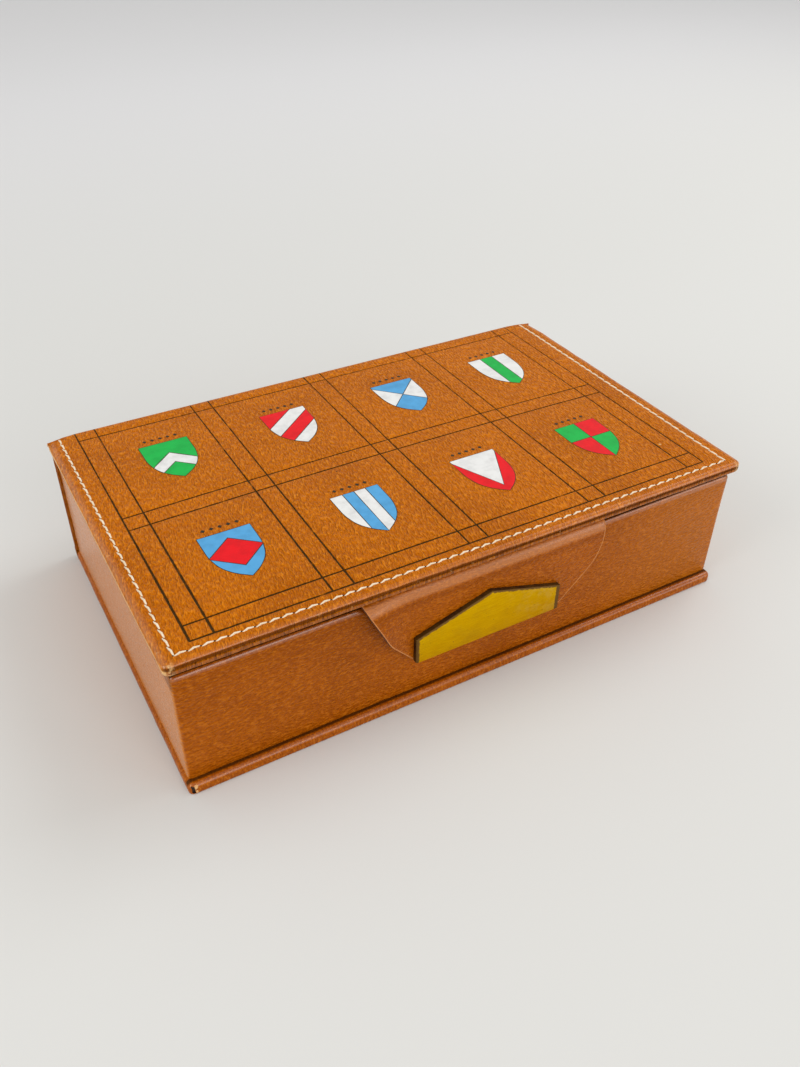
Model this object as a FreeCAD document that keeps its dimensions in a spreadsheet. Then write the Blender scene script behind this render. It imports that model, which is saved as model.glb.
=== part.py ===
"""A shallow leather-covered game case that opens like a book.

One hide runs round a base board, a back board and a lid board. A leather-covered tray of four thin
walls is glued to the base and to the back board. The lid swings on the hide itself, along a rolled
fold at the top of the back. A tongue of leather, glued under the front of the lid, rolls over the
front wall and carries a gabled brass plate, with a magnet behind it that meets a steel strip in the wall.

Millimetres. X runs to the right, Y to the back, Z up. The origin is on the table, under the middle of
the lid.
"""

import FreeCAD, Part
import os
import re
import Sketcher

os.makedirs("parts", exist_ok=True)
doc = FreeCAD.newDocument("game_case")

SIZES = {
    # Outside of the closed case, over the leather
    "case_length": 220.0,
    "case_width": 140.0,
    "case_height": 57.0,
    # Base, lid and back: a board in a turned-in leather cover
    "board_thick": 2.4,
    "back_board_thick": 1.6,
    "leather_thick": 0.8,
    "turn_in": 14.0,
    "corner_round": 2.0,
    "edge_round": 1.8,
    "under_round": 0.6,
    # The open leather folds along the top and the foot of the back
    "joint_space": 4.0,
    "hinge_cloth_thick": 0.4,
    # Tray walls, set in from the edges of base and lid
    "side_reveal": 1.0,
    "front_reveal": 3.2,
    "lid_gap": 4.2,
    "wall_thick": 2.5,
    "wall_leather_thick": 0.7,
    "wall_turn_in": 14.0,
    "wall_round": 1.7,
    "floor_thick": 1.5,
    "lining_thick": 0.7,
    # Loose partition across the tray
    "divider_thick": 3.0,
    "divider_drop": 13.0,
    "divider_round": 1.2,
    "divider_clear": 0.2,
    # Padded panel inside the lid, which comes down to the tray walls
    "lid_lining_clear": 0.6,
    "lid_lining_margin": 4.2,
    "lid_lining_notch": 0.4,
    "lid_lining_round": 1.0,
    # Leather tongue that hangs over the front wall
    "flap_width": 96.0,
    "flap_tip_width": 62.5,
    "flap_drop": 26.3,
    "flap_shoulder": 10.0,
    "flap_round": 18.0,
    "flap_leather_thick": 0.9,
    "flap_lining_thick": 0.6,
    "flap_lining_inset": 0.6,
    "flap_clear": 1.6,
    "flap_roll": 5.0,
    "flap_root_length": 14.0,
    # Gabled brass plate and what holds it
    "plate_width": 58.5,
    "plate_side": 10.4,
    "plate_peak": 19.6,
    "plate_depth": 2.0,
    "plate_bevel": 0.6,
    "plate_overhang": 0.3,
    "rivet_inset": 6.2,
    "rivet_rise": 7.0,
    "rivet_radius": 0.9,
    "rivet_clear": 0.1,
    "strip_inset": 3.2,
    "strip_height": 6.0,
    "strip_thick": 0.35,
    # Magnet in the plate and steel strip in the wall
    "magnet_length": 34.0,
    "magnet_height": 6.0,
    "magnet_thick": 1.0,
    "magnet_rise": 9.5,
    "keeper_length": 40.0,
    "keeper_height": 9.0,
    "keeper_thick": 0.8,
}

sheet = doc.addObject("Spreadsheet::Sheet", "Sizes")
for row, (alias, value) in enumerate(SIZES.items(), start=1):
    sheet.set(f"A{row}", alias)
    sheet.set(f"B{row}", str(value))
    sheet.setAlias(f"B{row}", alias)
doc.recompute()

# Planes that several pieces share, as formulas in the names above
LEFT = "-case_length / 2"
RIGHT = "case_length / 2"
FRONT = "-case_width / 2"
BACK = "case_width / 2"
PANEL_THICK = "(board_thick + 2 * leather_thick)"
PANEL_BACK = f"({BACK} - joint_space)"
LID_UNDER = f"(case_height - {PANEL_THICK})"
BACK_PANEL_THICK = "(back_board_thick + 2 * leather_thick)"
BACK_PANEL_TOP = "(case_height - joint_space)"
FOOT_FOLD = "joint_space"

TRAY_SIDE = f"({RIGHT} - side_reveal)"
TRAY_FRONT = f"({FRONT} + front_reveal)"
TRAY_BACK = f"({BACK} - {BACK_PANEL_THICK})"
TRAY_TOP = f"({LID_UNDER} - lid_gap)"
WALL_SIDE = f"({TRAY_SIDE} - wall_leather_thick)"
WALL_FRONT = f"({TRAY_FRONT} + wall_leather_thick)"
WALL_BACK = f"({TRAY_BACK} - wall_leather_thick)"
WALL_TOP = f"({TRAY_TOP} - wall_leather_thick)"
INSIDE_SIDE = f"({WALL_SIDE} - wall_thick)"
INSIDE_FRONT = f"({WALL_FRONT} + wall_thick)"
INSIDE_BACK = f"({WALL_BACK} - wall_thick)"
FLOOR_TOP = f"({PANEL_THICK} + floor_thick)"
LINING_TOP = f"({TRAY_TOP} - wall_turn_in)"
WELL_FLOOR = f"({FLOOR_TOP} + lining_thick)"
WALL_ROUND = "min(wall_round; 3 * wall_leather_thick; 0.45 * (wall_thick + 2 * wall_leather_thick))"

# Depths of the tongue's layers in front of the middle of the case
FLAP_LINING_DEPTH = f"(-{TRAY_FRONT} + flap_clear)"
FLAP_LEATHER_DEPTH = f"({FLAP_LINING_DEPTH} + flap_lining_thick)"
PLATE_DEPTH = f"({FLAP_LEATHER_DEPTH} + flap_leather_thick)"
ROLL_LEVEL = f"({LID_UNDER} - flap_roll)"
ROLL_DEPTH = f"({PLATE_DEPTH} - flap_roll)"
FLAP_TIP = f"({ROLL_LEVEL} - flap_drop)"
FLAP_KNEE = f"({ROLL_LEVEL} - flap_shoulder)"
PLATE_FOOT = f"({FLAP_TIP} - plate_overhang)"

NEAR = 1e-4


def bound(formula):
    """Write a formula in plain size names as an expression on the sheet."""
    return re.sub(r"[a-z]+(?:_[a-z]+)+", lambda name: "Sizes." + name.group(0), formula)


def block(name, x, y, z):
    """A block between three pairs of planes."""
    item = doc.addObject("Part::Box", name)
    for side, axis, (low, high) in (("Length", "x", x), ("Width", "y", y), ("Height", "z", z)):
        item.setExpression(side, bound(f"({high}) - ({low})"))
        item.setExpression(f"Placement.Base.{axis}", bound(low))
    return item


def cut(name, whole, tool):
    item = doc.addObject("Part::Cut", name)
    item.Base = whole
    item.Tool = tool
    return item


def joined(name, items):
    item = doc.addObject("Part::MultiFuse", name)
    item.Shapes = items
    return item


def outline(body, plane, level, *loops):
    """A sketch of closed loops on one of the body's own planes, each corner held by two formulas."""
    sketch = body.newObject("Sketcher::SketchObject", body.Name + "_outline")
    support = next(item for item in body.Origin.OriginFeatures if item.Role == plane)
    sketch.AttachmentSupport = [(support, "")]
    sketch.MapMode = "FlatFace"
    sketch.setExpression("AttachmentOffset.Base.z", bound(level))
    for start_size, loop in enumerate(loops, start=1):
        first = sketch.GeometryCount
        count = len(loop)
        corner = FreeCAD.Vector(start_size, 0, 0)
        turn = FreeCAD.Rotation(FreeCAD.Vector(0, 0, 1), 360 / count)
        for _ in loop:
            following = turn.multVec(corner)
            sketch.addGeometry(Part.LineSegment(corner, following), False)
            corner = following
        for place in range(count):
            joint = (first + place, 2, first + (place + 1) % count, 1)
            sketch.addConstraint(Sketcher.Constraint("Coincident", *joint))
        for place, formulas in enumerate(loop):
            for direction, formula in zip(("DistanceX", "DistanceY"), formulas):
                held = Sketcher.Constraint(direction, -1, 1, first + place, 1, float(start_size))
                index = sketch.addConstraint(held)
                sketch.setExpression(f"Constraints[{index}]", bound(formula))
    return sketch


def rectangle(left, right, low, high):
    return [(left, low), (right, low), (right, high), (left, high)]


def padded(name, plane, level, length, *loops):
    """A body whose first feature is a pad of the loops, off one of its origin planes."""
    body = doc.addObject("PartDesign::Body", name)
    sketch = outline(body, plane, level, *loops)
    pad = body.newObject("PartDesign::Pad", name + "_pad")
    pad.Profile = sketch
    pad.setExpression("Length", bound(length))
    doc.recompute()
    return body


def rounded(body, radius, wanted):
    """Round the edges of the body so far that the test picks by their bounds."""
    base = body.Tip
    names = [f"Edge{i}" for i, edge in enumerate(base.Shape.Edges, start=1) if wanted(edge.BoundBox)]
    fillet = body.newObject("PartDesign::Fillet", f"{base.Name}_round")
    fillet.Base = (base, names)
    fillet.setExpression("Radius", bound(radius))
    doc.recompute()
    return body


def on(value, plane):
    return abs(value - plane) < NEAR


def panel(name, inset, low, thick, corner):
    """A flat board or cover with its two front corners rounded in plan, ending at the back fold."""
    corners = rectangle(f"{LEFT} + {inset}", f"{RIGHT} - {inset}", f"{FRONT} + {inset}", PANEL_BACK)
    body = padded(name, "XY_Plane", low, thick, corners)
    front = body.Shape.BoundBox.YMin
    return rounded(body, corner, lambda edge: edge.ZLength > NEAR and on(edge.YMax, front))


def panel_cover(name, low, filling):
    """Leather round a panel: well rounded above, crisp below, open where the board and its paper lie."""
    body = panel(name + "_whole", "0", low, PANEL_THICK, "corner_round")
    box = body.Shape.BoundBox
    most = f"0.45 * {PANEL_THICK}; 3 * leather_thick"
    for size, level in (("edge_round", box.ZMax), ("under_round", box.ZMin)):
        rounded(
            body,
            f"min({size}; {most})",
            lambda edge: edge.ZLength < NEAR and on(edge.ZMin, level) and not on(edge.YMin, box.YMax),
        )
    return cut(name, body, joined(name + "_room", filling))


def panel_board(name, low):
    corner = "max(corner_round - leather_thick; 0.25 * corner_round)"
    return panel(name, "leather_thick", f"{low} + leather_thick", "board_thick", corner)


def panel_paper(name, low):
    """Paper that makes the turned-in side of a panel level, between the three turned-in edges."""
    return block(
        name,
        (f"{LEFT} + turn_in", f"{RIGHT} - turn_in"),
        (f"{FRONT} + turn_in", PANEL_BACK),
        (low, f"{low} + leather_thick"),
    )


def quarter_roll(name, start, end, centre, outer, thick, length):
    """A quarter of a tube along X, from one direction round to another."""
    along = FreeCAD.Vector(1, 0, 0)
    turn = FreeCAD.Rotation(start, end, along, "XYZ")
    tubes = []
    for part, radius in (("outside", outer), ("inside", f"{outer} - {thick}")):
        tube = doc.addObject("Part::Cylinder", f"{name}_{part}")
        tube.Angle = 90
        tube.Placement = FreeCAD.Placement(FreeCAD.Vector(), turn)
        tube.setExpression("Radius", bound(radius))
        tube.setExpression("Height", bound(length))
        for axis, formula in zip("xyz", (f"-({length}) / 2", *centre)):
            tube.setExpression(f"Placement.Base.{axis}", bound(formula))
        tubes.append(tube)
    return cut(name, *tubes)


TO_BACK = FreeCAD.Vector(0, 1, 0)
TO_FRONT = FreeCAD.Vector(0, -1, 0)
UPWARD = FreeCAD.Vector(0, 0, 1)
DOWNWARD = FreeCAD.Vector(0, 0, -1)


def base():
    board = panel_board("base_board", "0")
    paper = panel_paper("base_paper", f"({PANEL_THICK} - leather_thick)")
    cover = panel_cover("base_leather", "0", [board, paper])
    return [board, paper, cover]


def back():
    """The back board in its sleeve of leather, which rolls under at the foot to meet the base."""
    levels = (FOOT_FOLD, BACK_PANEL_TOP)
    board = block(
        "back_board",
        (f"{LEFT} + leather_thick", f"{RIGHT} - leather_thick"),
        (f"{TRAY_BACK} + leather_thick", f"{BACK} - leather_thick"),
        levels,
    )
    whole = block("back_whole", (LEFT, RIGHT), (TRAY_BACK, BACK), levels)
    sleeve = cut("back_sleeve", whole, board)
    centre = (PANEL_BACK, FOOT_FOLD)
    foot = quarter_roll("foot_roll", DOWNWARD, TO_BACK, centre, "joint_space", "leather_thick", "case_length")
    return [board, joined("back_leather", [sleeve, foot])]


def hinge():
    """The rolled fold at the top of the back, with a cloth strip glued inside it."""
    centre = (PANEL_BACK, BACK_PANEL_TOP)
    hide = ("joint_space", "leather_thick", "case_length")
    cloth = ("(joint_space - leather_thick)", "hinge_cloth_thick", "(case_length - 2 * leather_thick)")
    return [
        quarter_roll("hinge_leather", TO_BACK, UPWARD, centre, *hide),
        quarter_roll("hinge_cloth", TO_BACK, UPWARD, centre, *cloth),
    ]


def long_wall(name, outer, inner):
    """A wall along the length of the tray, its two outer corners rounded under the leather."""
    low, high = sorted((outer, inner), key=lambda plane: plane in (INSIDE_FRONT, WALL_BACK))
    corners = rectangle(f"-{WALL_SIDE}", WALL_SIDE, low, high)
    body = padded(name, "XY_Plane", PANEL_THICK, f"{WALL_TOP} - {PANEL_THICK}", corners)
    box = body.Shape.BoundBox
    outside = box.YMin if outer is low else box.YMax
    radius = f"max({WALL_ROUND} - wall_leather_thick; 0.2 * wall_leather_thick)"
    return rounded(body, radius, lambda edge: edge.ZLength > NEAR and on(edge.YMin, outside))


def tray():
    """Four wall boards in one leather cover, with a floor, a lining and a steel strip in the front."""
    levels = (PANEL_THICK, WALL_TOP)
    front = long_wall("front_wall_whole", WALL_FRONT, INSIDE_FRONT)
    back_wall = long_wall("back_wall", WALL_BACK, INSIDE_BACK)
    between = (INSIDE_FRONT, INSIDE_BACK)
    left = block("left_wall", (f"-{WALL_SIDE}", f"-{INSIDE_SIDE}"), between, levels)
    right = block("right_wall", (INSIDE_SIDE, WALL_SIDE), between, levels)

    strip_middle = f"({PLATE_FOOT} + magnet_rise)"
    keeper = block(
        "keeper_strip",
        ("-keeper_length / 2", "keeper_length / 2"),
        (WALL_FRONT, f"{WALL_FRONT} + keeper_thick"),
        (f"{strip_middle} - keeper_height / 2", f"{strip_middle} + keeper_height / 2"),
    )

    inside = ((f"-{INSIDE_SIDE}", INSIDE_SIDE), between)
    floor = block("tray_floor", *inside, (PANEL_THICK, FLOOR_TOP))
    lining_room = block("lining_room", *inside, (PANEL_THICK, LINING_TOP))
    lining_whole = block("lining_whole", *inside, (FLOOR_TOP, LINING_TOP))
    well = block(
        "lining_well",
        (f"-{INSIDE_SIDE} + lining_thick", f"{INSIDE_SIDE} - lining_thick"),
        (f"{INSIDE_FRONT} + lining_thick", f"{INSIDE_BACK} - lining_thick"),
        (WELL_FLOOR, LINING_TOP),
    )

    mouth_side = f"({INSIDE_SIDE} - wall_leather_thick)"
    ring = padded(
        "wall_leather_whole",
        "XY_Plane",
        PANEL_THICK,
        f"{TRAY_TOP} - {PANEL_THICK}",
        rectangle(f"-{TRAY_SIDE}", TRAY_SIDE, TRAY_FRONT, TRAY_BACK),
        rectangle(
            f"-{mouth_side}",
            mouth_side,
            f"{INSIDE_FRONT} + wall_leather_thick",
            f"{INSIDE_BACK} - wall_leather_thick",
        ),
    )
    box = ring.Shape.BoundBox
    rounded(ring, WALL_ROUND, lambda edge: edge.ZLength > NEAR and on(abs(edge.XMin), box.XMax))
    rounded(ring, WALL_ROUND, lambda edge: on(edge.ZMin, box.ZMax))
    cover_room = joined("wall_leather_room", [front, back_wall, left, right, lining_room])
    return [
        cut("front_wall", front, keeper),
        back_wall,
        left,
        right,
        keeper,
        floor,
        cut("tray_lining", lining_whole, well),
        cut("wall_leather", ring, cover_room),
    ]


def divider():
    """A loose partition that drops in across the middle of the tray, its top edge rounded."""
    front = f"({INSIDE_FRONT} + lining_thick + divider_clear)"
    back_end = f"({INSIDE_BACK} - lining_thick - divider_clear)"
    section = rectangle(
        "-divider_thick / 2", "divider_thick / 2", WELL_FLOOR, f"{TRAY_TOP} - divider_drop"
    )
    body = padded("divider", "XZ_Plane", f"-{back_end}", f"{back_end} - {front}", section)
    top = body.Shape.BoundBox.ZMax
    radius = "min(divider_round; 0.45 * divider_thick)"
    return [rounded(body, radius, lambda edge: on(edge.ZMin, top) and edge.YLength > NEAR)]


def flap_root():
    """The end of the tongue that is glued flat under the lid."""
    return block(
        "flap_root",
        ("-flap_width / 2", "flap_width / 2"),
        (f"-{ROLL_DEPTH}", f"-{ROLL_DEPTH} + flap_root_length"),
        (f"{LID_UNDER} - flap_leather_thick", LID_UNDER),
    )


def lid():
    board = panel_board("lid_board", LID_UNDER)
    paper = panel_paper("lid_paper", LID_UNDER)
    cover = panel_cover("lid_leather", LID_UNDER, [board, paper])
    levels = (f"{TRAY_TOP} + lid_lining_clear", LID_UNDER)
    side = f"({RIGHT} - lid_lining_margin)"
    pad_front = f"{FRONT} + lid_lining_margin"
    pad_plan = rectangle(f"-{side}", side, pad_front, PANEL_BACK)
    thick = f"{levels[1]} - ({levels[0]})"
    pad = padded("lid_lining_whole", "XY_Plane", levels[0], thick, pad_plan)
    box = pad.Shape.BoundBox
    soft = f"min(lid_lining_round; 0.45 * ({thick}))"
    rounded(pad, soft, lambda edge: edge.ZLength > NEAR and on(edge.YMin, box.YMin))
    rounded(pad, soft, lambda edge: on(edge.ZMax, box.ZMin) and not on(edge.YMin, box.YMax))
    notch = block(
        "lid_lining_cut",
        ("-flap_width / 2 - lid_lining_notch", "flap_width / 2 + lid_lining_notch"),
        (FRONT, f"-{ROLL_DEPTH} + flap_root_length + lid_lining_notch"),
        levels,
    )
    return [board, paper, cover, cut("lid_lining", pad, notch), flap_root()]


def tongue_layer(name, inset, depth, thick):
    """A layer of the hanging tongue: straight shoulders, a wide bend, then in to a narrow tip."""
    half = f"(flap_width / 2 - {inset})"
    tip_half = f"(flap_tip_width / 2 - {inset})"
    tip = f"{FLAP_TIP} + {inset}"
    corners = [
        (f"-{tip_half}", tip),
        (tip_half, tip),
        (half, FLAP_KNEE),
        (half, ROLL_LEVEL),
        (f"-{half}", ROLL_LEVEL),
        (f"-{half}", FLAP_KNEE),
    ]
    body = padded(name, "XZ_Plane", depth, thick, corners)
    box = body.Shape.BoundBox
    return rounded(
        body,
        "min(flap_round; 2 * flap_shoulder)",
        lambda edge: on(abs(edge.XMin), box.XMax)
        and edge.YLength > NEAR
        and edge.ZMax < box.ZMax - NEAR,
    )


def rod(name, x, depth, level, radius, length):
    """A round rod that runs to the front, from a depth in front of the middle of the case."""
    item = doc.addObject("Part::Cylinder", name)
    item.Placement = FreeCAD.Placement(FreeCAD.Vector(), FreeCAD.Rotation(UPWARD, TO_FRONT))
    item.setExpression("Radius", bound(radius))
    item.setExpression("Height", bound(length))
    for axis, formula in zip("xyz", (x, f"-({depth})", level)):
        item.setExpression(f"Placement.Base.{axis}", bound(formula))
    return item


def flap():
    """The tongue, its lining, and the brass plate riveted through to a strip behind the leather."""
    roll = quarter_roll(
        "flap_fold",
        UPWARD,
        TO_FRONT,
        (f"-{ROLL_DEPTH}", ROLL_LEVEL),
        "flap_roll",
        "flap_leather_thick",
        "flap_width",
    )
    leather = tongue_layer("flap_leather_whole", "0", FLAP_LEATHER_DEPTH, "flap_leather_thick")
    lining = tongue_layer("flap_lining_whole", "flap_lining_inset", FLAP_LINING_DEPTH, "flap_lining_thick")

    rivet_level = f"({PLATE_FOOT} + rivet_rise)"
    rivet_out = "(plate_width / 2 - rivet_inset)"
    strip_out = "(plate_width / 2 - strip_inset)"
    strip_depth = f"({FLAP_LEATHER_DEPTH} - strip_thick)"
    strip = block(
        "strip_whole",
        (f"-{strip_out}", strip_out),
        (f"-{FLAP_LEATHER_DEPTH}", f"-{strip_depth}"),
        (f"{rivet_level} - strip_height / 2", f"{rivet_level} + strip_height / 2"),
    )
    shank = "strip_thick + flap_leather_thick"
    rivets, holes = [], []
    for side, x in (("left", f"-{rivet_out}"), ("right", rivet_out)):
        rivets.append(rod(f"plate_rivet_{side}", x, strip_depth, rivet_level, "rivet_radius", shank))
        hole_radius = "rivet_radius + rivet_clear"
        holes.append(rod(f"rivet_hole_{side}", x, strip_depth, rivet_level, hole_radius, shank))
    rivet_holes = joined("rivet_holes", holes)

    plate_corners = [
        ("-plate_width / 2", PLATE_FOOT),
        ("plate_width / 2", PLATE_FOOT),
        ("plate_width / 2", f"{PLATE_FOOT} + plate_side"),
        ("0", f"{PLATE_FOOT} + plate_peak"),
        ("-plate_width / 2", f"{PLATE_FOOT} + plate_side"),
    ]
    plate = padded("brass_plate_whole", "XZ_Plane", PLATE_DEPTH, "plate_depth", plate_corners)
    slab = plate.Tip
    face = slab.Shape.BoundBox.YMin
    front_edges = [
        f"Edge{i}" for i, edge in enumerate(slab.Shape.Edges, start=1) if on(edge.BoundBox.YMax, face)
    ]
    bevel = plate.newObject("PartDesign::Chamfer", "plate_bevels")
    bevel.Base = (slab, front_edges)
    bevel.setExpression("Size", bound("min(plate_bevel; 0.9 * plate_depth)"))

    magnet_middle = f"({PLATE_FOOT} + magnet_rise)"
    magnet = block(
        "flap_magnet",
        ("-magnet_length / 2", "magnet_length / 2"),
        (f"-{PLATE_DEPTH} - magnet_thick", f"-{PLATE_DEPTH}"),
        (f"{magnet_middle} - magnet_height / 2", f"{magnet_middle} + magnet_height / 2"),
    )
    return [
        roll,
        cut("flap_leather", leather, rivet_holes),
        cut("flap_lining", lining, strip),
        cut("backing_strip", strip, rivet_holes),
        *rivets,
        cut("brass_plate", plate, magnet),
        magnet,
    ]


def check_and_write(pieces):
    """Stop on anything that failed to build, then write each piece to a file of its own name."""
    doc.recompute()
    for item in doc.Objects:
        if "Invalid" in item.State or "Error" in item.State:
            raise RuntimeError(f"{item.Name} did not build: {item.State}")
    for item in pieces:
        if item.Shape.isNull() or not item.Shape.isValid() or not item.Shape.Solids:
            raise RuntimeError(f"{item.Label} has no valid solid")
    for item in pieces:
        box = item.Shape.BoundBox
        print(
            f"{item.Label}: {len(item.Shape.Solids)} solid, {item.Shape.Volume:.0f} mm3,"
            f" x {box.XMin:.2f} to {box.XMax:.2f}, y {box.YMin:.2f} to {box.YMax:.2f},"
            f" z {box.ZMin:.2f} to {box.ZMax:.2f}"
        )
        item.Shape.exportStep(f"parts/{item.Label}.step")


check_and_write(base() + back() + hinge() + tray() + divider() + lid() + flap())
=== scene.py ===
# %% [markdown]
# # A leather game case, dressed in Blender
#
# The case opens like a book. One hide runs round a base board, a back board and a lid board, and a tray with
# leather-covered walls stands on the base. A tongue of leather hangs from the lid over the front wall and
# carries a gabled brass plate. The exact solids come from CAD; this lesson makes the skins, the stitching,
# the tooling and the finishes that the eye sees.

import math
import random

import bmesh
import bpy
from mathutils import Matrix, Vector, noise


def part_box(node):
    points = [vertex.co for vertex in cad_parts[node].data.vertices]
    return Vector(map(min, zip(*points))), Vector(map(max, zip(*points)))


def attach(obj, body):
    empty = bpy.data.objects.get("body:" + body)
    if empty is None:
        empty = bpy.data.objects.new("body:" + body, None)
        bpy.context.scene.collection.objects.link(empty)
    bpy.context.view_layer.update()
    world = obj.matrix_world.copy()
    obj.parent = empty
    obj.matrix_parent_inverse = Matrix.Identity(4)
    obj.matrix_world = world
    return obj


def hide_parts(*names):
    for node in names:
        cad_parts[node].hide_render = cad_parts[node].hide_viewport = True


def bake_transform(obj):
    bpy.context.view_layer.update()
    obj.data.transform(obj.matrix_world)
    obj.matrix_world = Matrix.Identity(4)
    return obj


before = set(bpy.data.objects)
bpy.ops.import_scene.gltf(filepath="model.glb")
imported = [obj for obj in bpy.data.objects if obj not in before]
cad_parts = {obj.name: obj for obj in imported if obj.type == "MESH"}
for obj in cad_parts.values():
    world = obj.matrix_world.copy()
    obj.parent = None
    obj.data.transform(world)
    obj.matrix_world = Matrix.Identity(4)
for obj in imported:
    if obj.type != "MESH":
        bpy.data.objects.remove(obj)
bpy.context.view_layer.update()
MM = 0.001
TINY = 0.001 * MM


def linked(name, data):
    """A new object in the scene."""
    made = bpy.data.objects.new(name, data)
    bpy.context.scene.collection.objects.link(made)
    return made


# %% [markdown]
# ## Camera
#
# The camera stands above the front left corner and looks down on the lid. Its place and its three turns were
# fitted to the corners of the lid and the base, so they are written as plain numbers. The sensor's 36 mm
# belong to the longer side of the picture, which is its height here.

# %% Set the camera
CAMERA_PLACE = Vector((-147.65, -267.12, 249.86)) * MM
CAMERA_AZIMUTH, CAMERA_ELEVATION, CAMERA_ROLL = (math.radians(turn) for turn in (-29.75, 37.30, 0.64))
FOCAL_PIXELS, PICTURE_HEIGHT, SENSOR = 958.88, 1067, 36.0

level = math.cos(CAMERA_ELEVATION)
backward = Vector((math.sin(CAMERA_AZIMUTH) * level, -math.cos(CAMERA_AZIMUTH) * level, 0))
backward.z = math.sin(CAMERA_ELEVATION)
sideways = Vector((0, 0, 1)).cross(backward).normalized()
upright = backward.cross(sideways)
facing = Matrix((sideways, upright, backward)).transposed()
facing = facing @ Matrix.Rotation(CAMERA_ROLL, 3, "Z")

camera = linked("camera", bpy.data.cameras.new("camera"))
camera.matrix_world = Matrix.Translation(CAMERA_PLACE) @ facing.to_4x4()
camera.data.sensor_width = SENSOR
camera.data.lens = FOCAL_PIXELS * SENSOR / PICTURE_HEIGHT
camera.data.clip_start = 0.01
bpy.context.scene.camera = camera
bpy.context.scene.view_settings.view_transform = "Standard"
print("lens", round(camera.data.lens, 2), "mm")

# %% [markdown]
# ## Writing materials as sums
#
# A material is a net of nodes. Wiring it by hand hides the idea, so one small class wraps a socket and lets
# Python's own signs add the Math nodes. Everything that isn't a sum goes through its one `node` method, which
# sets the node's own settings first and then its sockets.


# %% A socket that can be added and multiplied
class Wire:
    """One value of a material, as a socket that Python's signs can work on."""

    def __init__(self, tree, socket=None):
        self.tree = tree
        self.socket = socket

    def node(self, kind, settings=None, sockets=None, output=0):
        made = self.tree.nodes.new("ShaderNode" + kind)
        for name, value in (settings or {}).items():
            setattr(made, name, value)
        for name, value in (sockets or {}).items():
            if isinstance(value, Wire):
                self.tree.links.new(value.socket, made.inputs[name])
            else:
                made.inputs[name].default_value = value
        return Wire(self.tree, made.outputs[output])

    def maths(self, operation, *values):
        return self.node("Math", {"operation": operation}, dict(enumerate(values)))

    def __add__(self, other):
        return self.maths("ADD", self, other)

    def __mul__(self, other):
        return self.maths("MULTIPLY", self, other)

    def __sub__(self, other):
        return self.maths("SUBTRACT", self, other)

    def __rsub__(self, other):
        return self.maths("SUBTRACT", other, self)

    def __abs__(self):
        return self.maths("ABSOLUTE", self)

    __radd__ = __add__
    __rmul__ = __mul__

    def least(self, other):
        return self.maths("MINIMUM", self, other)

    def most(self, other):
        return self.maths("MAXIMUM", self, other)

    def ramp(self, low, high, start=0.0, end=1.0):
        """Go smoothly from start to end while this value goes from low to high."""
        settings = {"interpolation_type": "SMOOTHSTEP"}
        sockets = {"Value": self, "From Min": low, "From Max": high, "To Min": start, "To Max": end}
        return self.node("MapRange", settings, sockets)

    def between(self, first, second):
        """Mix two colours by this value."""
        settings = {"data_type": "RGBA"}
        return self.node("Mix", settings, {0: self, 6: first, 7: second}, 2)


def shade(red, green, blue):
    """A colour from the 0 to 255 values of a picture, as the light value that a shader wants."""

    def light(value):
        value = value / 255
        return value / 12.92 if value <= 0.04045 else ((value + 0.055) / 1.055) ** 2.4

    return (light(red), light(green), light(blue), 1.0)


def new_finish(name):
    """An empty material: its first wire and its main shader."""
    finish = bpy.data.materials.new(name)
    finish.use_nodes = True
    return finish, Wire(finish.node_tree), finish.node_tree.nodes["Principled BSDF"]


def feed(wire, shader, **values):
    """Set or link sockets of the main shader, by their names with underscores."""
    for name, value in values.items():
        socket = shader.inputs[name.replace("_", " ")]
        if isinstance(value, Wire):
            wire.tree.links.new(value.socket, socket)
        else:
            socket.default_value = value


def places(wire, attribute=None):
    """Where a point lies on the piece: its object coordinates, or the resting place it remembers."""
    if attribute:
        return wire.node("Attribute", {"attribute_name": attribute}, None, "Vector")
    return wire.node("TexCoord", None, None, "Object")


def clouds(wire, place, size, detail=2.0, rough=0.5):
    """Noise whose lumps are about that many millimetres."""
    sockets = {"Vector": place, "Scale": 1 / (size * MM), "Detail": detail, "Roughness": rough}
    return wire.node("TexNoise", None, sockets)


def relief(wire, height, depth):
    """Turn a height from 0 to 1 into a bump that many millimetres deep."""
    return wire.node("Bump", None, {"Height": height, "Distance": depth * MM, "Strength": 1.0})


print("shader helpers ready")

# %% [markdown]
# ## Leather
#
# Calf leather that was boarded by hand has fine creases drawn out one way, under a millimetre apart. Noise on
# a stretched and bent coordinate gives those ripples, which make most of the height. Finer noise gives pores,
# and Voronoi cells break both into pebbles. Together they are the grain, which sets the colour: hollows keep
# more dye and are rougher, and the ridges are rubbed lighter. Broad noise makes the dye uneven over
# centimetres. A thin coat of wax shows only where `extra` asks for it, on edges that hands polish.

# %% The leather finish
TAN = {
    "base": shade(196, 106, 0),
    "deep": shade(146, 70, 0),
    "high": shade(226, 140, 30),
    "worn": shade(232, 184, 122),
    # Painted shade: this dark tone stands for shade on the lid's front edge, the back's ends and the walls.
    "shadowed": shade(92, 42, 4),
    "ink": shade(44, 34, 10),
}
WARM_GLOSS = (1.0, 0.45, 0.12, 1.0)
GRAIN_LEAN = math.radians(-10)
RIPPLE, PORE, PEBBLE, LUMP, DYE_PATCH = 0.8, 0.42, 0.8, 5.5, 34.0
BEND_LENGTH, BEND_REACH = 1.7, 0.55
WAX_ROUGHNESS, WAX_IOR = 0.22, 1.8


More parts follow.
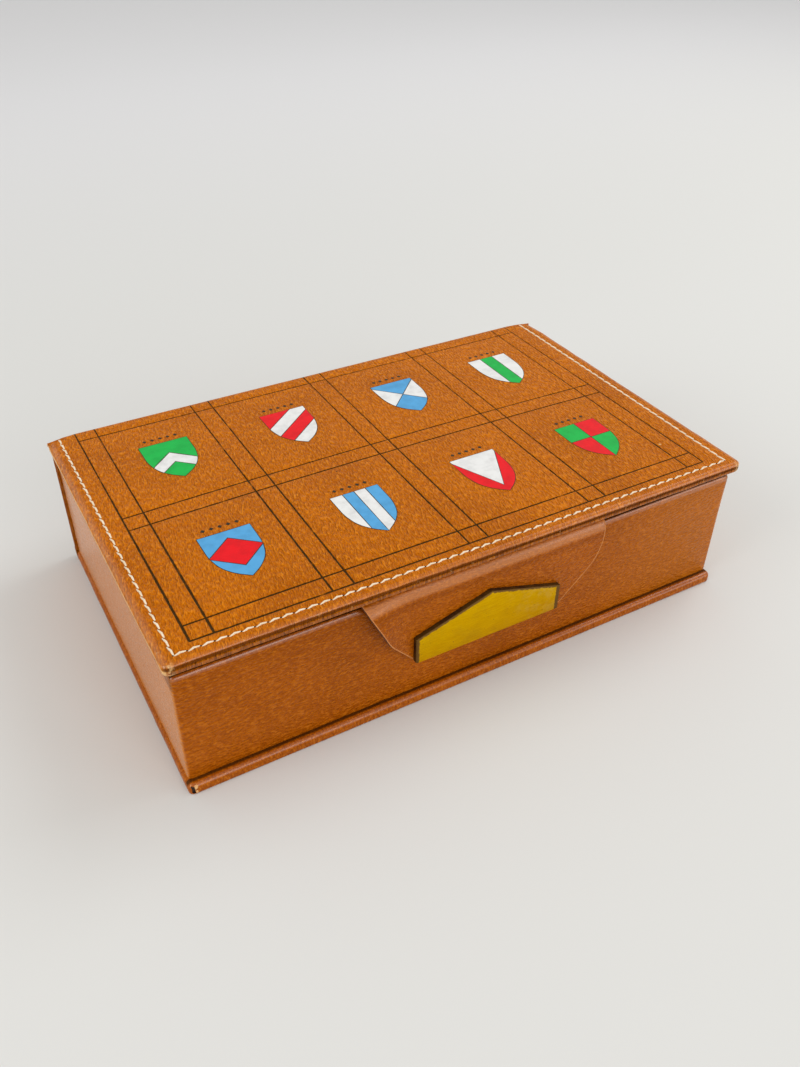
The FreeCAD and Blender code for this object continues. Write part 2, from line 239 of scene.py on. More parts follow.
def leather(name, tones, drawn_out, depth, rough, gloss, contrast=1.0, attribute=None, extra=None):
    """Grained leather. `extra` takes the wires and returns them with marks, and with a coat of wax."""
    finish, wire, shader = new_finish(name)
    place = places(wire, attribute)
    sockets = {"Vector": place, "Rotation": (0, 0, GRAIN_LEAN), "Scale": drawn_out}
    drawn = wire.node("Mapping", {"vector_type": "TEXTURE"}, sockets)
    bend = wire.node("TexNoise", None, {"Vector": drawn, "Scale": 1 / (BEND_LENGTH * MM), "Detail": 1.0}, 1)
    bent = wire.node("VectorMath", {"operation": "SUBTRACT"}, {0: bend, 1: (0.5, 0.5, 0.5)})
    bent = wire.node("VectorMath", {"operation": "SCALE"}, {0: bent, "Scale": BEND_REACH * MM})
    bent = wire.node("VectorMath", {"operation": "ADD"}, {0: drawn, 1: bent})
    ripple = clouds(wire, bent, RIPPLE, 1.0, 0.4).ramp(0.32, 0.68)
    pores = clouds(wire, bent, PORE, 2.0, 0.6).ramp(0.36, 0.64)
    cell = {"Vector": bent, "Scale": 1 / (PEBBLE * MM), "Randomness": 1.0}
    crease = wire.node("TexVoronoi", {"feature": "DISTANCE_TO_EDGE"}, cell, "Distance").ramp(0.0, 0.3)
    lumps = clouds(wire, place, LUMP, 2.0, 0.5)
    dye = clouds(wire, place, DYE_PATCH, 4.0, 0.6)
    grain = pores * 0.45 + ripple * 0.4 + crease * 0.15
    height = ripple + grain * 0.25 + lumps * 0.5
    colour = (dye.ramp(0.35, 0.75) * 0.45).between(tones["base"], tones["deep"])
    colour = (grain.ramp(0.0, 0.55, 0.75, 0.0) * contrast).between(colour, tones["deep"])
    colour = (grain.ramp(0.5, 1.0, 0.0, 0.65) * contrast).between(colour, tones["high"])
    roughness = rough + (0.5 - grain) * 0.16 + lumps * 0.06
    wax = 0.0
    if extra:
        colour, height, roughness, wax = extra(wire, place, colour, height, roughness)
    feed(wire, shader, Base_Color=colour, Roughness=roughness, Normal=relief(wire, height, depth))
    feed(wire, shader, Specular_IOR_Level=gloss, Specular_Tint=WARM_GLOSS)
    feed(wire, shader, Coat_Weight=wax, Coat_Roughness=WAX_ROUGHNESS, Coat_IOR=WAX_IOR)
    return finish


# %% [markdown]
# ## Tooled lines, wear and painted light on the lid
#
# A hot wheel pressed pairs of dark lines into the lid, which makes two rows of four panels. The rows bow a
# little, because the wheel was led by hand. The same numbers are used later for the grooves in the mesh, so
# ink and groove fall together. The front edge is painted darker as shade, most in the seam between two waxed
# ridges. The corners are rubbed pale, and a thin painted highlight runs along the lower edge of the sides.

# %% Where the lines run
LINE_HALF_GAP = 3.75
COLUMN_PAIRS = (-96.65, -50.65, -0.85, 48.35, 93.95)
ROW_PAIRS = (-59.15, 2.6, 64.6)
LINES_LEFT, LINES_RIGHT, LINES_FRONT = -100.4, 97.7, -62.9
LINE_WIDTH = 0.7
LINE_BOW, BOW_HALF, BOW_REACH = 1.8, 100.0, 62.0


def bow_at(x, y):
    """How far forward a row of lines has strayed, in millimetres."""
    return LINE_BOW * (x / BOW_HALF) ** 2 * max(0.0, 1 - (y / BOW_REACH) ** 2)


def millimetres(wire, place):
    """The three parts of a place, in millimetres."""
    return [wire.node("SeparateXYZ", None, {0: place}, part) * 1000.0 for part in range(3)]


def nearest_line(value, pairs):
    """Distance to the nearest line of several pairs."""
    found = abs(abs(value - pairs[0]) - LINE_HALF_GAP)
    for pair in pairs[1:]:
        found = found.least(abs(abs(value - pair) - LINE_HALF_GAP))
    return found


def line_mask(wire, place):
    """How much ink of the pressed lines a point carries; the lines are shaky, and faint in places."""
    across, along, _ = millimetres(wire, place)
    bow = across * across * (LINE_BOW / BOW_HALF**2) * (1 - along * along * (1 / BOW_REACH**2)).most(0.0)
    heavy = across.ramp(-95.0, -40.0, 0.07, 0.0) * along.ramp(-60.0, 20.0, 1.0, 0.0)
    to_column = nearest_line(across, COLUMN_PAIRS) - heavy
    to_column = to_column + along.ramp(LINES_FRONT - 0.5, LINES_FRONT - 0.2, 9.0, 0.0)
    beyond = (LINES_LEFT - across).most(across - LINES_RIGHT)
    to_row = nearest_line(along + bow, ROW_PAIRS) + beyond.ramp(0.2, 0.5, 0.0, 9.0)
    shaky = (clouds(wire, place, 1.6, 2.0) - 0.5) * 0.3
    faint = clouds(wire, place, 7.0, 3.0).ramp(0.30, 0.40, 0.6, 1.0)
    half = across.ramp(-100.0, 90.0, 0.37, 0.30) * along.ramp(-50.0, 60.0, 1.0, 0.72)
    near = to_column.least(to_row) + shaky
    return near.ramp(half * 0.6, half * 1.25, 1.0, 0.0) * faint


# %% Marks of the lid
NICKS = ((92.0, -46.0, 0.7, "worn"), (-41.0, 62.0, 0.55, "ink"), (-24.0, -4.0, 0.4, "ink"))
EDGE_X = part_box("lid_leather")[1].x / MM
EDGE_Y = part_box("lid_leather")[0].y / MM
LID_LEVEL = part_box("lid_leather")[1].z / MM
SEAM_LEVEL = LID_LEVEL - 1.8
EDGE_BAND = (-1.9, -0.3)


def lid_marks(wire, place, colour, height, roughness):
    """Ink, nicks, worn corners and edges; painted shade on the front edge, painted highlight on the sides."""
    across, along, up = millimetres(wire, place)
    ink = line_mask(wire, place)
    colour = (ink * 0.95).between(colour, TAN["ink"])
    height = height - ink * 0.6
    for x, y, size, tone in NICKS:
        off = wire.maths("POWER", (across - x) * (across - x) + (along - y) * (along - y), 0.5)
        colour = off.ramp(size * 0.5, size, 0.9, 0.0).between(colour, TAN[tone])
    side = abs(across) - EDGE_X
    front = EDGE_Y - along
    corner = side.ramp(-3.0, -0.5) * front.ramp(-3.5, -0.6)
    front_edge = front.ramp(*EDGE_BAND)
    edge = side.ramp(*EDGE_BAND).most(front_edge)
    patches = clouds(wire, place, 2.2, 4.0, 0.65)
    flat = wire.node("VectorMath", {"operation": "MULTIPLY"}, {0: place, 1: (1.0, 1.0, 0.15)})
    crimps = clouds(wire, flat, 1.1, 2.0, 0.6)
    up = up + across.ramp(-80.0, 60.0, -0.3, 0.2)
    # Painted shade: the front edge face is darkened, most in the seam hollow and along the crimps.
    hollow = abs(up - SEAM_LEVEL).ramp(0.25, 0.8, 0.8, 0.0)
    front_shade = (hollow + crimps.ramp(0.45, 0.65) * 0.4 + 0.3).least(0.9)
    shaded = front_edge * front_shade * up.ramp(LID_LEVEL - 1.3, LID_LEVEL - 0.8, 1.0, 0.0)
    colour = shaded.between(colour, TAN["shadowed"])
    height = height - edge * crimps
    worn = (edge * patches.ramp(0.6, 0.74) * 0.4).most(corner * patches.ramp(0.46, 0.6) * 0.9)
    # Painted highlight: a thin pale line low on the sides, mixed in with the real wear.
    hem_highlight = up.ramp(LID_LEVEL - 2.3, LID_LEVEL - 1.9, 1.0, 0.08)
    worn = worn.most(side.ramp(-0.5, 0.5) * hem_highlight * patches.ramp(0.3, 0.5, 0.75, 1.0))
    colour = worn.between(colour, TAN["worn"])
    upper_ridge = up.ramp(LID_LEVEL - 1.3, LID_LEVEL - 0.9)
    lower_ridge = up.ramp(LID_LEVEL - 3.0, LID_LEVEL - 2.6, 0.7, 0.0)
    wax = edge * upper_ridge.most(lower_ridge) * 0.5
    return colour, height, roughness + ink * 0.08 + worn * 0.1, wax


# %% The six leathers
LID_DRAW, BASE_DRAW = (1.0, 3.4, 3.4), (1.1, 1.1, 2.8)
WALL_DRAW, TONGUE_DRAW = (2.4, 2.0, 1.0), (2.2, 1.0, 1.0)
lid_finish = leather("lid_leather_finish", TAN, LID_DRAW, 0.45, 0.42, 0.15, 0.9, extra=lid_marks)
roll_finish = leather("roll_leather_finish", TAN, LID_DRAW, 0.45, 0.42, 0.15, 0.9, "rest", lid_marks)


def back_marks(wire, place, colour, height, roughness):
    """The folded ends of the back are painted dark as shade."""
    across, _, _ = millimetres(wire, place)
    # Painted shade on the ends of the back.
    ends = abs(across).ramp(EDGE_X - 1.8, EDGE_X - 0.6)
    return (ends * 0.6).between(colour, TAN["shadowed"]), height, roughness, 0.0


back_finish = leather("back_leather_finish", TAN, LID_DRAW, 0.4, 0.42, 0.15, 0.9, extra=back_marks)

BROWN = dict(TAN, base=shade(164, 82, 2), deep=shade(122, 54, 0), high=shade(200, 116, 24))
# Painted highlight: the pale tone laid on the tongue's roll.
ROLL_HIGHLIGHT = shade(216, 146, 88)
FOOT_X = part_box("wall_leather")[1].x / MM
FOOT_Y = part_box("wall_leather")[0].y / MM
# Painted shade: a near-black tone for the crease, the gap and the tops that lie in shade.
SHADOW_TONE = shade(40, 20, 6)


def base_marks(wire, place, colour, height, roughness):
    """Painted shade in the crease along the foot of the front wall; the rounded edge is polished."""
    _, along, up = millimetres(wire, place)
    outside = FOOT_Y - along
    # Painted shade in the crease.
    crease = outside.ramp(-0.6, -0.1) * outside.ramp(0.8, 1.7, 0.85, 0.0) * up.ramp(2.2, 3.2)
    wax = outside.ramp(1.4, 2.0) * up.ramp(2.6, 3.2) * 0.45
    return crease.between(colour, SHADOW_TONE), height, roughness + crease * 0.3, wax


WALL_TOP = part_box("wall_leather")[1].z / MM


def wall_marks(wire, place, colour, height, roughness):
    """Wax on top and ends; painted shade inside and under the lid; painted reflection on ends and right."""
    across, along, up = millimetres(wire, place)
    ends = abs(across).ramp(FOOT_X - 0.8, FOOT_X - 0.1)
    # Painted shade: the top and inner side of the walls are darkened, as the gap under the lid is in shade.
    inside_front = -FOOT_Y - abs(along) + across.ramp(-80.0, 60.0, -0.35, 0.25)
    inside_end = FOOT_X - abs(across) + 0.35
    dark = inside_end.least(inside_front).ramp(0.45, 0.95, 0.0, 0.92)
    wax = up.ramp(WALL_TOP - 1.9, WALL_TOP - 1.1) * (1.0 - dark) * 0.75
    # Painted reflection: the ends and the right part of the walls are lightened towards the high tone.
    colour = (ends * 0.5).most(across.ramp(30.0, 100.0) * 0.15).between(colour, TAN["high"])
    # Painted shadow: the upper part of the end walls, under the lid's overhang, is darkened.
    under = ends * up.ramp(WALL_TOP - 6.6, WALL_TOP - 4.0)
    colour = (under * 0.6).between(colour, TAN["shadowed"])
    wax = wax.most(ends * 0.4) * (1.0 - under * 0.7)
    return dark.between(colour, SHADOW_TONE), height, roughness + dark * 0.4, wax


FOLD_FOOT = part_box("flap_fold")[0].z / MM


def tongue_marks(wire, place, colour, height, roughness):
    """Waxed roll with a painted highlight; painted shade under the lid and in the crease below."""
    _, _, up = millimetres(wire, place)
    # Painted highlight on the roll, which is also waxed there.
    highlight_and_wax = up.ramp(FOLD_FOOT - 0.6, FOLD_FOOT + 1.2) * up.ramp(FOLD_FOOT + 2.8, FOLD_FOOT + 3.8, 1.0, 0.0)
    # Painted shade: a crease below the roll, and the top of the roll under the lid's edge.
    crease = up.ramp(FOLD_FOOT - 4.2, FOLD_FOOT - 1.8) * up.ramp(FOLD_FOOT - 1.2, FOLD_FOOT, 1.0, 0.0)
    colour = (highlight_and_wax * 0.3).between(colour, ROLL_HIGHLIGHT)
    colour = (crease * 0.4).between(colour, BROWN["deep"])
    colour = up.ramp(FOLD_FOOT + 3.6, FOLD_FOOT + 4.3, 0.0, 0.85).between(colour, SHADOW_TONE)
    return colour, height, roughness - highlight_and_wax * 0.06, highlight_and_wax * 0.42


base_finish = leather("base_leather_finish", BROWN, BASE_DRAW, 0.08, 0.4, 0.3, extra=base_marks)
wall_finish = leather("wall_leather_finish", BROWN, WALL_DRAW, 0.16, 0.28, 0.25, 0.8, extra=wall_marks)
tongue_finish = leather("tongue_leather_finish", BROWN, TONGUE_DRAW, 0.16, 0.3, 0.25, 0.8, "rest",
                        tongue_marks)
print("leathers", [m.name for m in bpy.data.materials if "leather" in m.name])

# %% [markdown]
# ## Brass, thread, ink and the plain stuffs
#
# The brass plate is yellow where hands polish it and brown with tarnish along its gable and ends, where a
# cloth doesn't reach; the tarnish has a ragged edge, so noise is added to the distance from the outline. A
# painted highlight lightens the right part of the plate, and the sides are painted darker than tarnish
# alone, as shade. The other stuffs are thread, cut edges of leather, and what lies inside the case: grey
# board, paper, suede, steel and ferrite. The dark of the needle holes and of the tongue's left cut edge is
# painted shade, and so is the dark suede of the pad.

# %% Brass
PLATE_LOW, PLATE_HIGH = (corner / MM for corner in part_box("brass_plate"))
EAVES = 10.4


def plate_border(wire, place):
    """Distance from the gable and the ends of the plate, in millimetres."""
    across, _, up = millimetres(wire, place)
    rise = PLATE_HIGH.z - PLATE_LOW.z - EAVES
    slope = math.atan2(rise, PLATE_HIGH.x)
    to_gable = (PLATE_HIGH.z - abs(across) * math.tan(slope) - up) * math.cos(slope)
    return (to_gable + 0.25).least(PLATE_HIGH.x - across - 1.0).least(across - PLATE_LOW.x - 0.2)


def brass(name, tarnish, brown, border=None):
    """Scratched brass. `border` gives the distance from the outline along which tarnish has stayed."""
    finish, wire, shader = new_finish(name)
    place = places(wire)
    cloudy = clouds(wire, place, 7.0, 5.0, 0.6)
    specks = clouds(wire, place, 0.9, 2.0, 0.5).ramp(0.68, 0.76)
    turned = wire.node("Mapping", None, {"Vector": place, "Rotation": (0, 0.5, 0), "Scale": (0.25, 1.0, 6.0)})
    scratches = clouds(wire, turned, 1.1, 3.0, 0.7)
    dark = (cloudy.ramp(0.45, 0.7) * 0.14 + tarnish).least(1.0).most(specks * 0.7)
    if border:
        ragged = (clouds(wire, place, 1.6, 3.0, 0.65) - 0.5) * 1.1
        dark = dark.most((border(wire, place) + ragged).ramp(0.6, 1.1, 0.95, 0.0))
    colour = scratches.ramp(0.35, 0.7).between(shade(208, 160, 0), shade(226, 182, 14))
    across, _, _ = millimetres(wire, place)
    # Painted highlight: the right part of the plate is lightened in patches.
    right_highlight = across.ramp(2.0, 22.0) * clouds(wire, place, 3.2, 4.0, 0.65).ramp(0.45, 0.65) * 0.45
    colour = right_highlight.between(colour, shade(220, 186, 96))
    colour = dark.between(colour, brown)
    rough = 0.36 + cloudy * 0.12 + dark * 0.2 - scratches * 0.08
    feed(wire, shader, Base_Color=colour, Metallic=0.88 - dark * 0.45, Roughness=rough)
    feed(wire, shader, Specular_IOR_Level=0.15, Specular_Tint=WARM_GLOSS)
    feed(wire, shader, Normal=relief(wire, scratches * 0.5 + cloudy, 0.03))
    return finish


brass_face = brass("brass_face", 0.0, shade(96, 68, 40), plate_border)
# Tarnished brass, painted darker still as shade on the plate's sides.
brass_side = brass("brass_side", 0.95, shade(62, 40, 22))


# %% Stuffs with one tone and a fine surface
def stuff(name, colour, second, size, depth, rough, metal=0.0, sheen=0.0, attribute=None):
    """Two tones mixed by fine and broad noise, which give the relief too."""
    finish, wire, shader = new_finish(name)
    place = places(wire, attribute)
    fine = clouds(wire, place, size, 4.0, 0.65)
    broad = clouds(wire, place, size * 22, 3.0, 0.55)
    tone = (fine * 0.6 + broad * 0.4).ramp(0.3, 0.7)
    feed(wire, shader, Base_Color=tone.between(colour, second), Roughness=rough + fine * 0.12)
    feed(wire, shader, Normal=relief(wire, fine + broad * 0.6, depth), Metallic=metal, Sheen_Weight=sheen)
    return finish


suede = stuff("suede_lining", shade(170, 128, 88), shade(142, 102, 66), 0.35, 0.05, 0.78, sheen=0.35)
# Painted shade: the pad's suede is made dark, so that the gap under the lid reads as shade.
gap_shade_suede = stuff("gap_shade_suede_lining", shade(68, 42, 26), shade(40, 23, 13), 0.35, 0.06, 0.82, sheen=0.15)
suede_back = stuff("suede_back", shade(186, 140, 92), shade(158, 112, 68), 0.35, 0.05, 0.78, 0.0, 0.3, "rest")
grey_board = stuff("grey_board", shade(150, 143, 131), shade(128, 120, 108), 0.5, 0.04, 0.8)
plain_paper = stuff("plain_paper", shade(222, 214, 196), shade(206, 196, 176), 0.6, 0.015, 0.75)
steel = stuff("steel_strip", shade(150, 150, 152), shade(126, 126, 130), 0.4, 0.01, 0.35, metal=1.0)
ferrite = stuff("ferrite", shade(58, 58, 61), shade(44, 44, 47), 0.3, 0.02, 0.55)
thread = stuff("waxed_thread", shade(244, 232, 208), shade(214, 192, 156), 0.22, 0.05, 0.6)
# Painted shade: a dark tone for the needle holes and the slit at the corner of the base.
hole_shade = stuff("hole_shade", shade(46, 26, 12), shade(30, 16, 8), 0.3, 0.02, 0.8)
rubbed_edge = stuff("rubbed_edge", shade(230, 184, 124), shade(206, 146, 84), 0.4, 0.05, 0.6)
raw_edge = stuff("raw_edge", shade(204, 136, 72), shade(168, 96, 40), 0.4, 0.05, 0.7, attribute="rest")
# Painted shade: the dark cut edge under the tongue's curled left side.
left_edge_shade = stuff("left_edge_shade", shade(104, 58, 22), shade(70, 36, 12), 0.4, 0.05, 0.7, attribute="rest")
print("materials", len(bpy.data.materials))

# %% [markdown]
# ## Small helpers for meshes
#
# Each piece is a bmesh that starts from a cube, a few points or a circle and is cut, rounded and thickened by
# operators. `placed` turns it into an object at the origin, hangs it on its CAD body unless it is given a
# blend, and hides the CAD solid that it stands for.


# %% Mesh helpers
def boxed(low, high):
    """A bmesh with one cube between two corners."""
    bm = bmesh.new()
    bmesh.ops.create_cube(bm, size=1.0)
    bmesh.ops.scale(bm, vec=high - low, verts=bm.verts)
    bmesh.ops.translate(bm, vec=(low + high) / 2, verts=bm.verts)
    return bm


def same(first, second):
    return abs(first - second) < TINY


def rounded(bm, geom, radius, steps, affect="EDGES"):
    """Round edges, or the corners of a flat piece."""
    settings = {"offset_type": "OFFSET", "profile": 0.5, "affect": affect, "material": -1}
    bmesh.ops.bevel(bm, geom=geom, offset=radius, segments=steps, **settings)


def edges_on(bm, test):
    return [edge for edge in bm.edges if all(test(vertex.co) for vertex in edge.verts)]


def edges_off(edges, test):
    """Those of some edges that don't lie wholly where the test holds."""
    return [edge for edge in edges if not all(test(vertex.co) for vertex in edge.verts)]


def moved(bm, geom, vec):
    """Move the points of what an operator has made."""
    points = [item for item in geom if isinstance(item, bmesh.types.BMVert)]
    bmesh.ops.translate(bm, vec=vec, verts=points)


def faced_up(bm):
    for face in bm.faces:
        if face.normal.z < 0:
            face.normal_flip()


def joined(bm, other):
    """Add another bmesh to this one."""
    mesh = bpy.data.meshes.new("joined")
    other.to_mesh(mesh)
    other.free()
    bm.from_mesh(mesh)
    bpy.data.meshes.remove(mesh)


def halved(bm, place, normal, **settings):
    """Cut the whole mesh by one plane."""
    geom = bm.verts[:] + bm.edges[:] + bm.faces[:]
    bmesh.ops.bisect_plane(bm, geom=geom, dist=TINY, plane_co=place, plane_no=normal, **settings)


def extruded(outline, vec):
    """A bmesh with a flat outline drawn out along a vector."""
    bm = bmesh.new()
    bm.faces.new([bm.verts.new(point) for point in outline])
    made = bmesh.ops.extrude_face_region(bm, geom=bm.faces[:])["geom"]
    moved(bm, made, vec)
    bmesh.ops.recalc_face_normals(bm, faces=bm.faces)
    return bm


def thickened(bm, thick):
    """Face a skin outwards and give it its thickness."""
    bmesh.ops.recalc_face_normals(bm, faces=bm.faces)
    bmesh.ops.solidify(bm, geom=bm.faces[:], thickness=thick)


def inset_top(bm, level, width):
    """Inset the face of a box that lies at a level, and return that face."""
    top = [face for face in bm.faces if same(face.calc_center_median().z, level)]
    bmesh.ops.inset_region(bm, faces=top, thickness=width, use_even_offset=True)
    return top


def sliced(bm, axis, levels):
    """Cut the whole mesh across one axis at several levels, in metres."""
    normal = Vector([float(axis == part) for part in range(3)])
    for level in levels:
        halved(bm, normal * level, normal)


def dropped(bm, test):
    """Delete the faces whose middle passes the test."""
    faces = [face for face in bm.faces if test(face.calc_center_median())]
    bmesh.ops.delete(bm, geom=faces, context="FACES")


def steps_between(low, high, spacing):
    """Even levels strictly between two ends."""
    count = max(1, round((high - low) / spacing))
    return [low + (high - low) * step / count for step in range(1, count)]


def smooth(low, high, value):
    share = min(1.0, max(0.0, (value - low) / (high - low)))
    return share * share * (3 - 2 * share)


def wavered(bm, amount, length, test):
    """Push points along their normals by soft noise, as a hand-turned edge is never quite straight."""
    bm.normal_update()
    moves = [(v, v.normal * noise.noise(v.co / length) * amount) for v in bm.verts if test(v.co)]
    for vertex, move in moves:
        vertex.co += move


def placed(bm, name, finishes, body=None, blend=None, stands_for=(), sharp=40.0):
    """Finish a bmesh as an object at the origin that rides on a body, unless a blend is given."""
    mesh = bpy.data.meshes.new(name)
    bm.normal_update()
    bm.to_mesh(mesh)
    bm.free()
    for finish in finishes:
        mesh.materials.append(finish)
    mesh.shade_smooth()
    mesh.set_sharp_from_angle(angle=math.radians(sharp))
    rest = mesh.attributes.new("rest", "FLOAT_VECTOR", "POINT")
    rest.data.foreach_set("vector", [part for vertex in mesh.vertices for part in vertex.co])
    piece = linked(name, mesh)
    if blend:
        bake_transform(piece)
    else:
        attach(piece, body)
    if stands_for:
        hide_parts(*stands_for)
    print(name, len(mesh.polygons), "faces")
    return piece


# %% [markdown]
# ## The hides of lid and base
#
# Each hide is wrapped round three edges of a board and turned in on its hidden side. A cube is rounded in
# plan, then along its upper and lower edges. The left corners are pinched tighter than the right ones. The
# back is opened where the hide runs on into a fold, and the turned-in side is opened where paper levels it.
# Solidify gives the skin its thickness. Lid and base are the same piece with another side open. The lid's
# sides stand a little proud of its board, and its back corners have sunk with wear; the hinge roll does the
# same later, so that the two stay joined.

# %% A hide turned round three edges of a board
HIDE = 0.8 * MM
TURN_IN = 14.0 * MM
LEFT_ROUND, RIGHT_ROUND = 1.85 * MM, 2.3 * MM
UPPER_ROUND, LOWER_ROUND = 1.75 * MM, 0.6 * MM
GRID, GRID_MARGIN, RIM_BAND = 6 * MM, 2 * MM, 2.5 * MM


def turned_hide(node, inner_side):
    """The skin of a panel whose inner side, 0 for below and 1 for above, is open over the board."""
    low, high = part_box(node)
    bm = boxed(low, high)
    for side, radius in ((low.x, LEFT_ROUND), (high.x, RIGHT_ROUND)):
        rounded(bm, edges_on(bm, lambda co: same(co.x, side) and same(co.y, low.y)), radius, 5)
    for level, radius, steps in ((high.z, UPPER_ROUND, 6), (low.z, LOWER_ROUND, 3)):
        rim = edges_on(bm, lambda co: same(co.z, level))
        rounded(bm, edges_off(rim, lambda co: same(co.y, high.y)), radius, steps)
    dropped(bm, lambda co: same(co.y, high.y))
    sliced(bm, 0, (low.x + TURN_IN, high.x - TURN_IN))
    sliced(bm, 1, (low.y + TURN_IN,))
    inner = (low.z, high.z)[inner_side]
    dropped(bm, lambda co: same(co.z, inner) and abs(co.x) < high.x - TURN_IN and co.y > low.y + TURN_IN)
    thickened(bm, HIDE)
    return bm, low, high


def gridded(bm, low, high):
    """Cut a panel into a grid, so that it can be pushed about."""
    sliced(bm, 0, steps_between(low.x + GRID_MARGIN, high.x - GRID_MARGIN, GRID))
    sliced(bm, 1, steps_between(low.y + GRID_MARGIN, high.y, GRID))


def on_rim(co, low, high):
    return abs(co.x) > high.x - RIM_BAND or co.y < low.y + RIM_BAND


# %% Ends of the lid that stand proud and sink at the back
PROUD, PROUD_WIDTH = 0.9 * MM, 2.5 * MM
CORNER_WIDTH, LID_SINK, ROLL_SINK = 7.0 * MM, 0.6 * MM, 1.1 * MM
LID_SINK_LENGTH, ROLL_SINK_LENGTH = 10.0 * MM, 2.5 * MM
LID_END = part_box("lid_leather")[1].x
LID_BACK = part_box("lid_leather")[1].y


def sunk_corner(co):
    """How far the worn hide has sunk near the back corners of the lid."""
    sunk = LID_SINK * smooth(LID_BACK - LID_SINK_LENGTH, LID_BACK, co.y)
    sunk += ROLL_SINK * smooth(LID_BACK, LID_BACK + ROLL_SINK_LENGTH, co.y)
    return sunk * smooth(LID_END - CORNER_WIDTH, LID_END, abs(co.x))


def eased(bm, from_level, to_level):
    """Push the sides out and let the back corners sink, fading in between two levels."""
    for vertex in bm.verts:
        co = vertex.co
        share = smooth(from_level, to_level, co.z)
        co.z -= sunk_corner(co) * share
        co.x += math.copysign(PROUD, co.x) * smooth(LID_END - PROUD_WIDTH, LID_END, abs(co.x)) * share


# %% The lid, with its pressed lines and stitched hollow
GROOVE = 0.16 * MM
STITCH_LEFT, STITCH_RIGHT, STITCH_FRONT = -106.5 * MM, 105.7 * MM, -66.0 * MM
STITCH_HOLLOW = 0.25 * MM
HOLLOW_HALF = 1.1 * MM
SEAM_HALF, SEAM_DEEP = 0.6 * MM, 0.55 * MM

bm, low, high = turned_hide("lid_leather", 0)
middle = (low + high) / 2
sliced(bm, 2, [SEAM_LEVEL * MM + move for move in (-SEAM_HALF, 0.0, SEAM_HALF)])
bm.normal_update()
creased = [v for v in bm.verts if same(v.co.z, SEAM_LEVEL * MM) and v.normal.dot(v.co - middle) > 0]
for vertex in creased:
    vertex.co -= Vector((vertex.normal.x, vertex.normal.y, 0)) * SEAM_DEEP
line_half = LINE_WIDTH / 2 * MM
columns, row_lines = ([(pair + sign * LINE_HALF_GAP) * MM for pair in pairs for sign in (-1, 1)]
                      for pairs in (COLUMN_PAIRS, ROW_PAIRS))
row_lines = [line for line in row_lines if line < high.y - MM]
for axis, lines in ((0, columns), (1, row_lines)):
    sliced(bm, axis, [line + move for line in lines for move in (-line_half, 0.0, line_half)])
hollow = (-HOLLOW_HALF, 0.0, HOLLOW_HALF)
sliced(bm, 0, [row + move for row in (STITCH_LEFT, STITCH_RIGHT) for move in hollow])
sliced(bm, 1, [STITCH_FRONT + move for move in hollow])
gridded(bm, low, high)
for vertex in bm.verts:
    co = vertex.co
    if not same(co.z, high.z):
        continue
    on_column = any(same(co.x, line) for line in columns) and co.y > LINES_FRONT * MM - TINY
    on_row = any(same(co.y, line) for line in row_lines) and LINES_LEFT < co.x / MM < LINES_RIGHT
    on_side = (same(co.x, STITCH_LEFT) or same(co.x, STITCH_RIGHT)) and co.y > STITCH_FRONT - TINY
    on_front = same(co.y, STITCH_FRONT) and STITCH_LEFT - TINY < co.x < STITCH_RIGHT + TINY
    if on_column or on_row:
        co.z -= GROOVE
    if on_side or on_front:
        co.z -= STITCH_HOLLOW
    co.y -= bow_at(co.x / MM, co.y / MM) * MM
wavered(bm, 0.16 * MM, 9 * MM, lambda co: on_rim(co, low, high))
eased(bm, low.z - MM, low.z + MM)
placed(bm, "lid_hide", [lid_finish], "lid", stands_for=["lid_leather"])

# %% The base, with the slit of an open fold at its front left corner
SLIT_LEFT, SLIT_RIGHT, SLIT_DEEP = 0.85 * MM, 1.95 * MM, 1.3 * MM
SLIT_FOOT, SLIT_TOP = 0.7 * MM, 3.3 * MM
FLAT_FOOT = 0.5 * MM

bm, low, high = turned_hide("base_leather", 1)
sliced(bm, 0, [low.x + SLIT_LEFT, low.x + SLIT_RIGHT])
sliced(bm, 2, [low.z + SLIT_FOOT, low.z + SLIT_TOP])
dropped(bm, lambda co: SLIT_LEFT < co.x - low.x < SLIT_RIGHT and co.y < low.y + SLIT_DEEP
        and SLIT_FOOT < co.z - low.z < SLIT_TOP)
gridded(bm, low, high)
wavered(bm, 0.18 * MM, 11 * MM, lambda co: on_rim(co, low, high) and co.z > FLAT_FOOT)
placed(bm, "base_hide", [base_finish], "case", stands_for=["base_leather"])

# %% [markdown]
# ## The worn fold at the corner of the base
#
# The front edge of the base ends in a small open fold. Its lip is rubbed pale, and the slit beside it is
# painted dark inside as shade. The lip is a narrow rounded bar and the shade a small dark patch set back on
# the board.

# %% Lip and pocket
LIP_SIZE, LIP_ROUND = Vector((1.1, 0.9, 3.4)) * MM, 0.38 * MM
POCKET_SIZE, POCKET_ROUND = Vector((1.4, 0.2, 3.0)) * MM, 0.07 * MM
lip_low = Vector((low.x + SLIT_RIGHT - 0.05 * MM, low.y - 0.12 * MM, low.z + 0.35 * MM))
bm = boxed(lip_low, lip_low + LIP_SIZE)
rounded(bm, bm.edges[:], LIP_ROUND, 4)
sliced(bm, 2, steps_between(lip_low.z, lip_low.z + LIP_SIZE.z, 0.5 * MM))
wavered(bm, 0.3 * MM, 1.3 * MM, lambda co: co.y < low.y + 0.5 * MM)
placed(bm, "corner_lip", [rubbed_edge], "case")
# Painted shade: a small dark patch set back inside the slit.
pocket_low = Vector((low.x + 0.74 * MM, low.y + 0.55 * MM, low.z + SLIT_FOOT - 0.2 * MM))
bm = boxed(pocket_low, pocket_low + POCKET_SIZE)
rounded(bm, bm.edges[:], POCKET_ROUND, 2)
placed(bm, "corner_pocket", [hole_shade], "case")

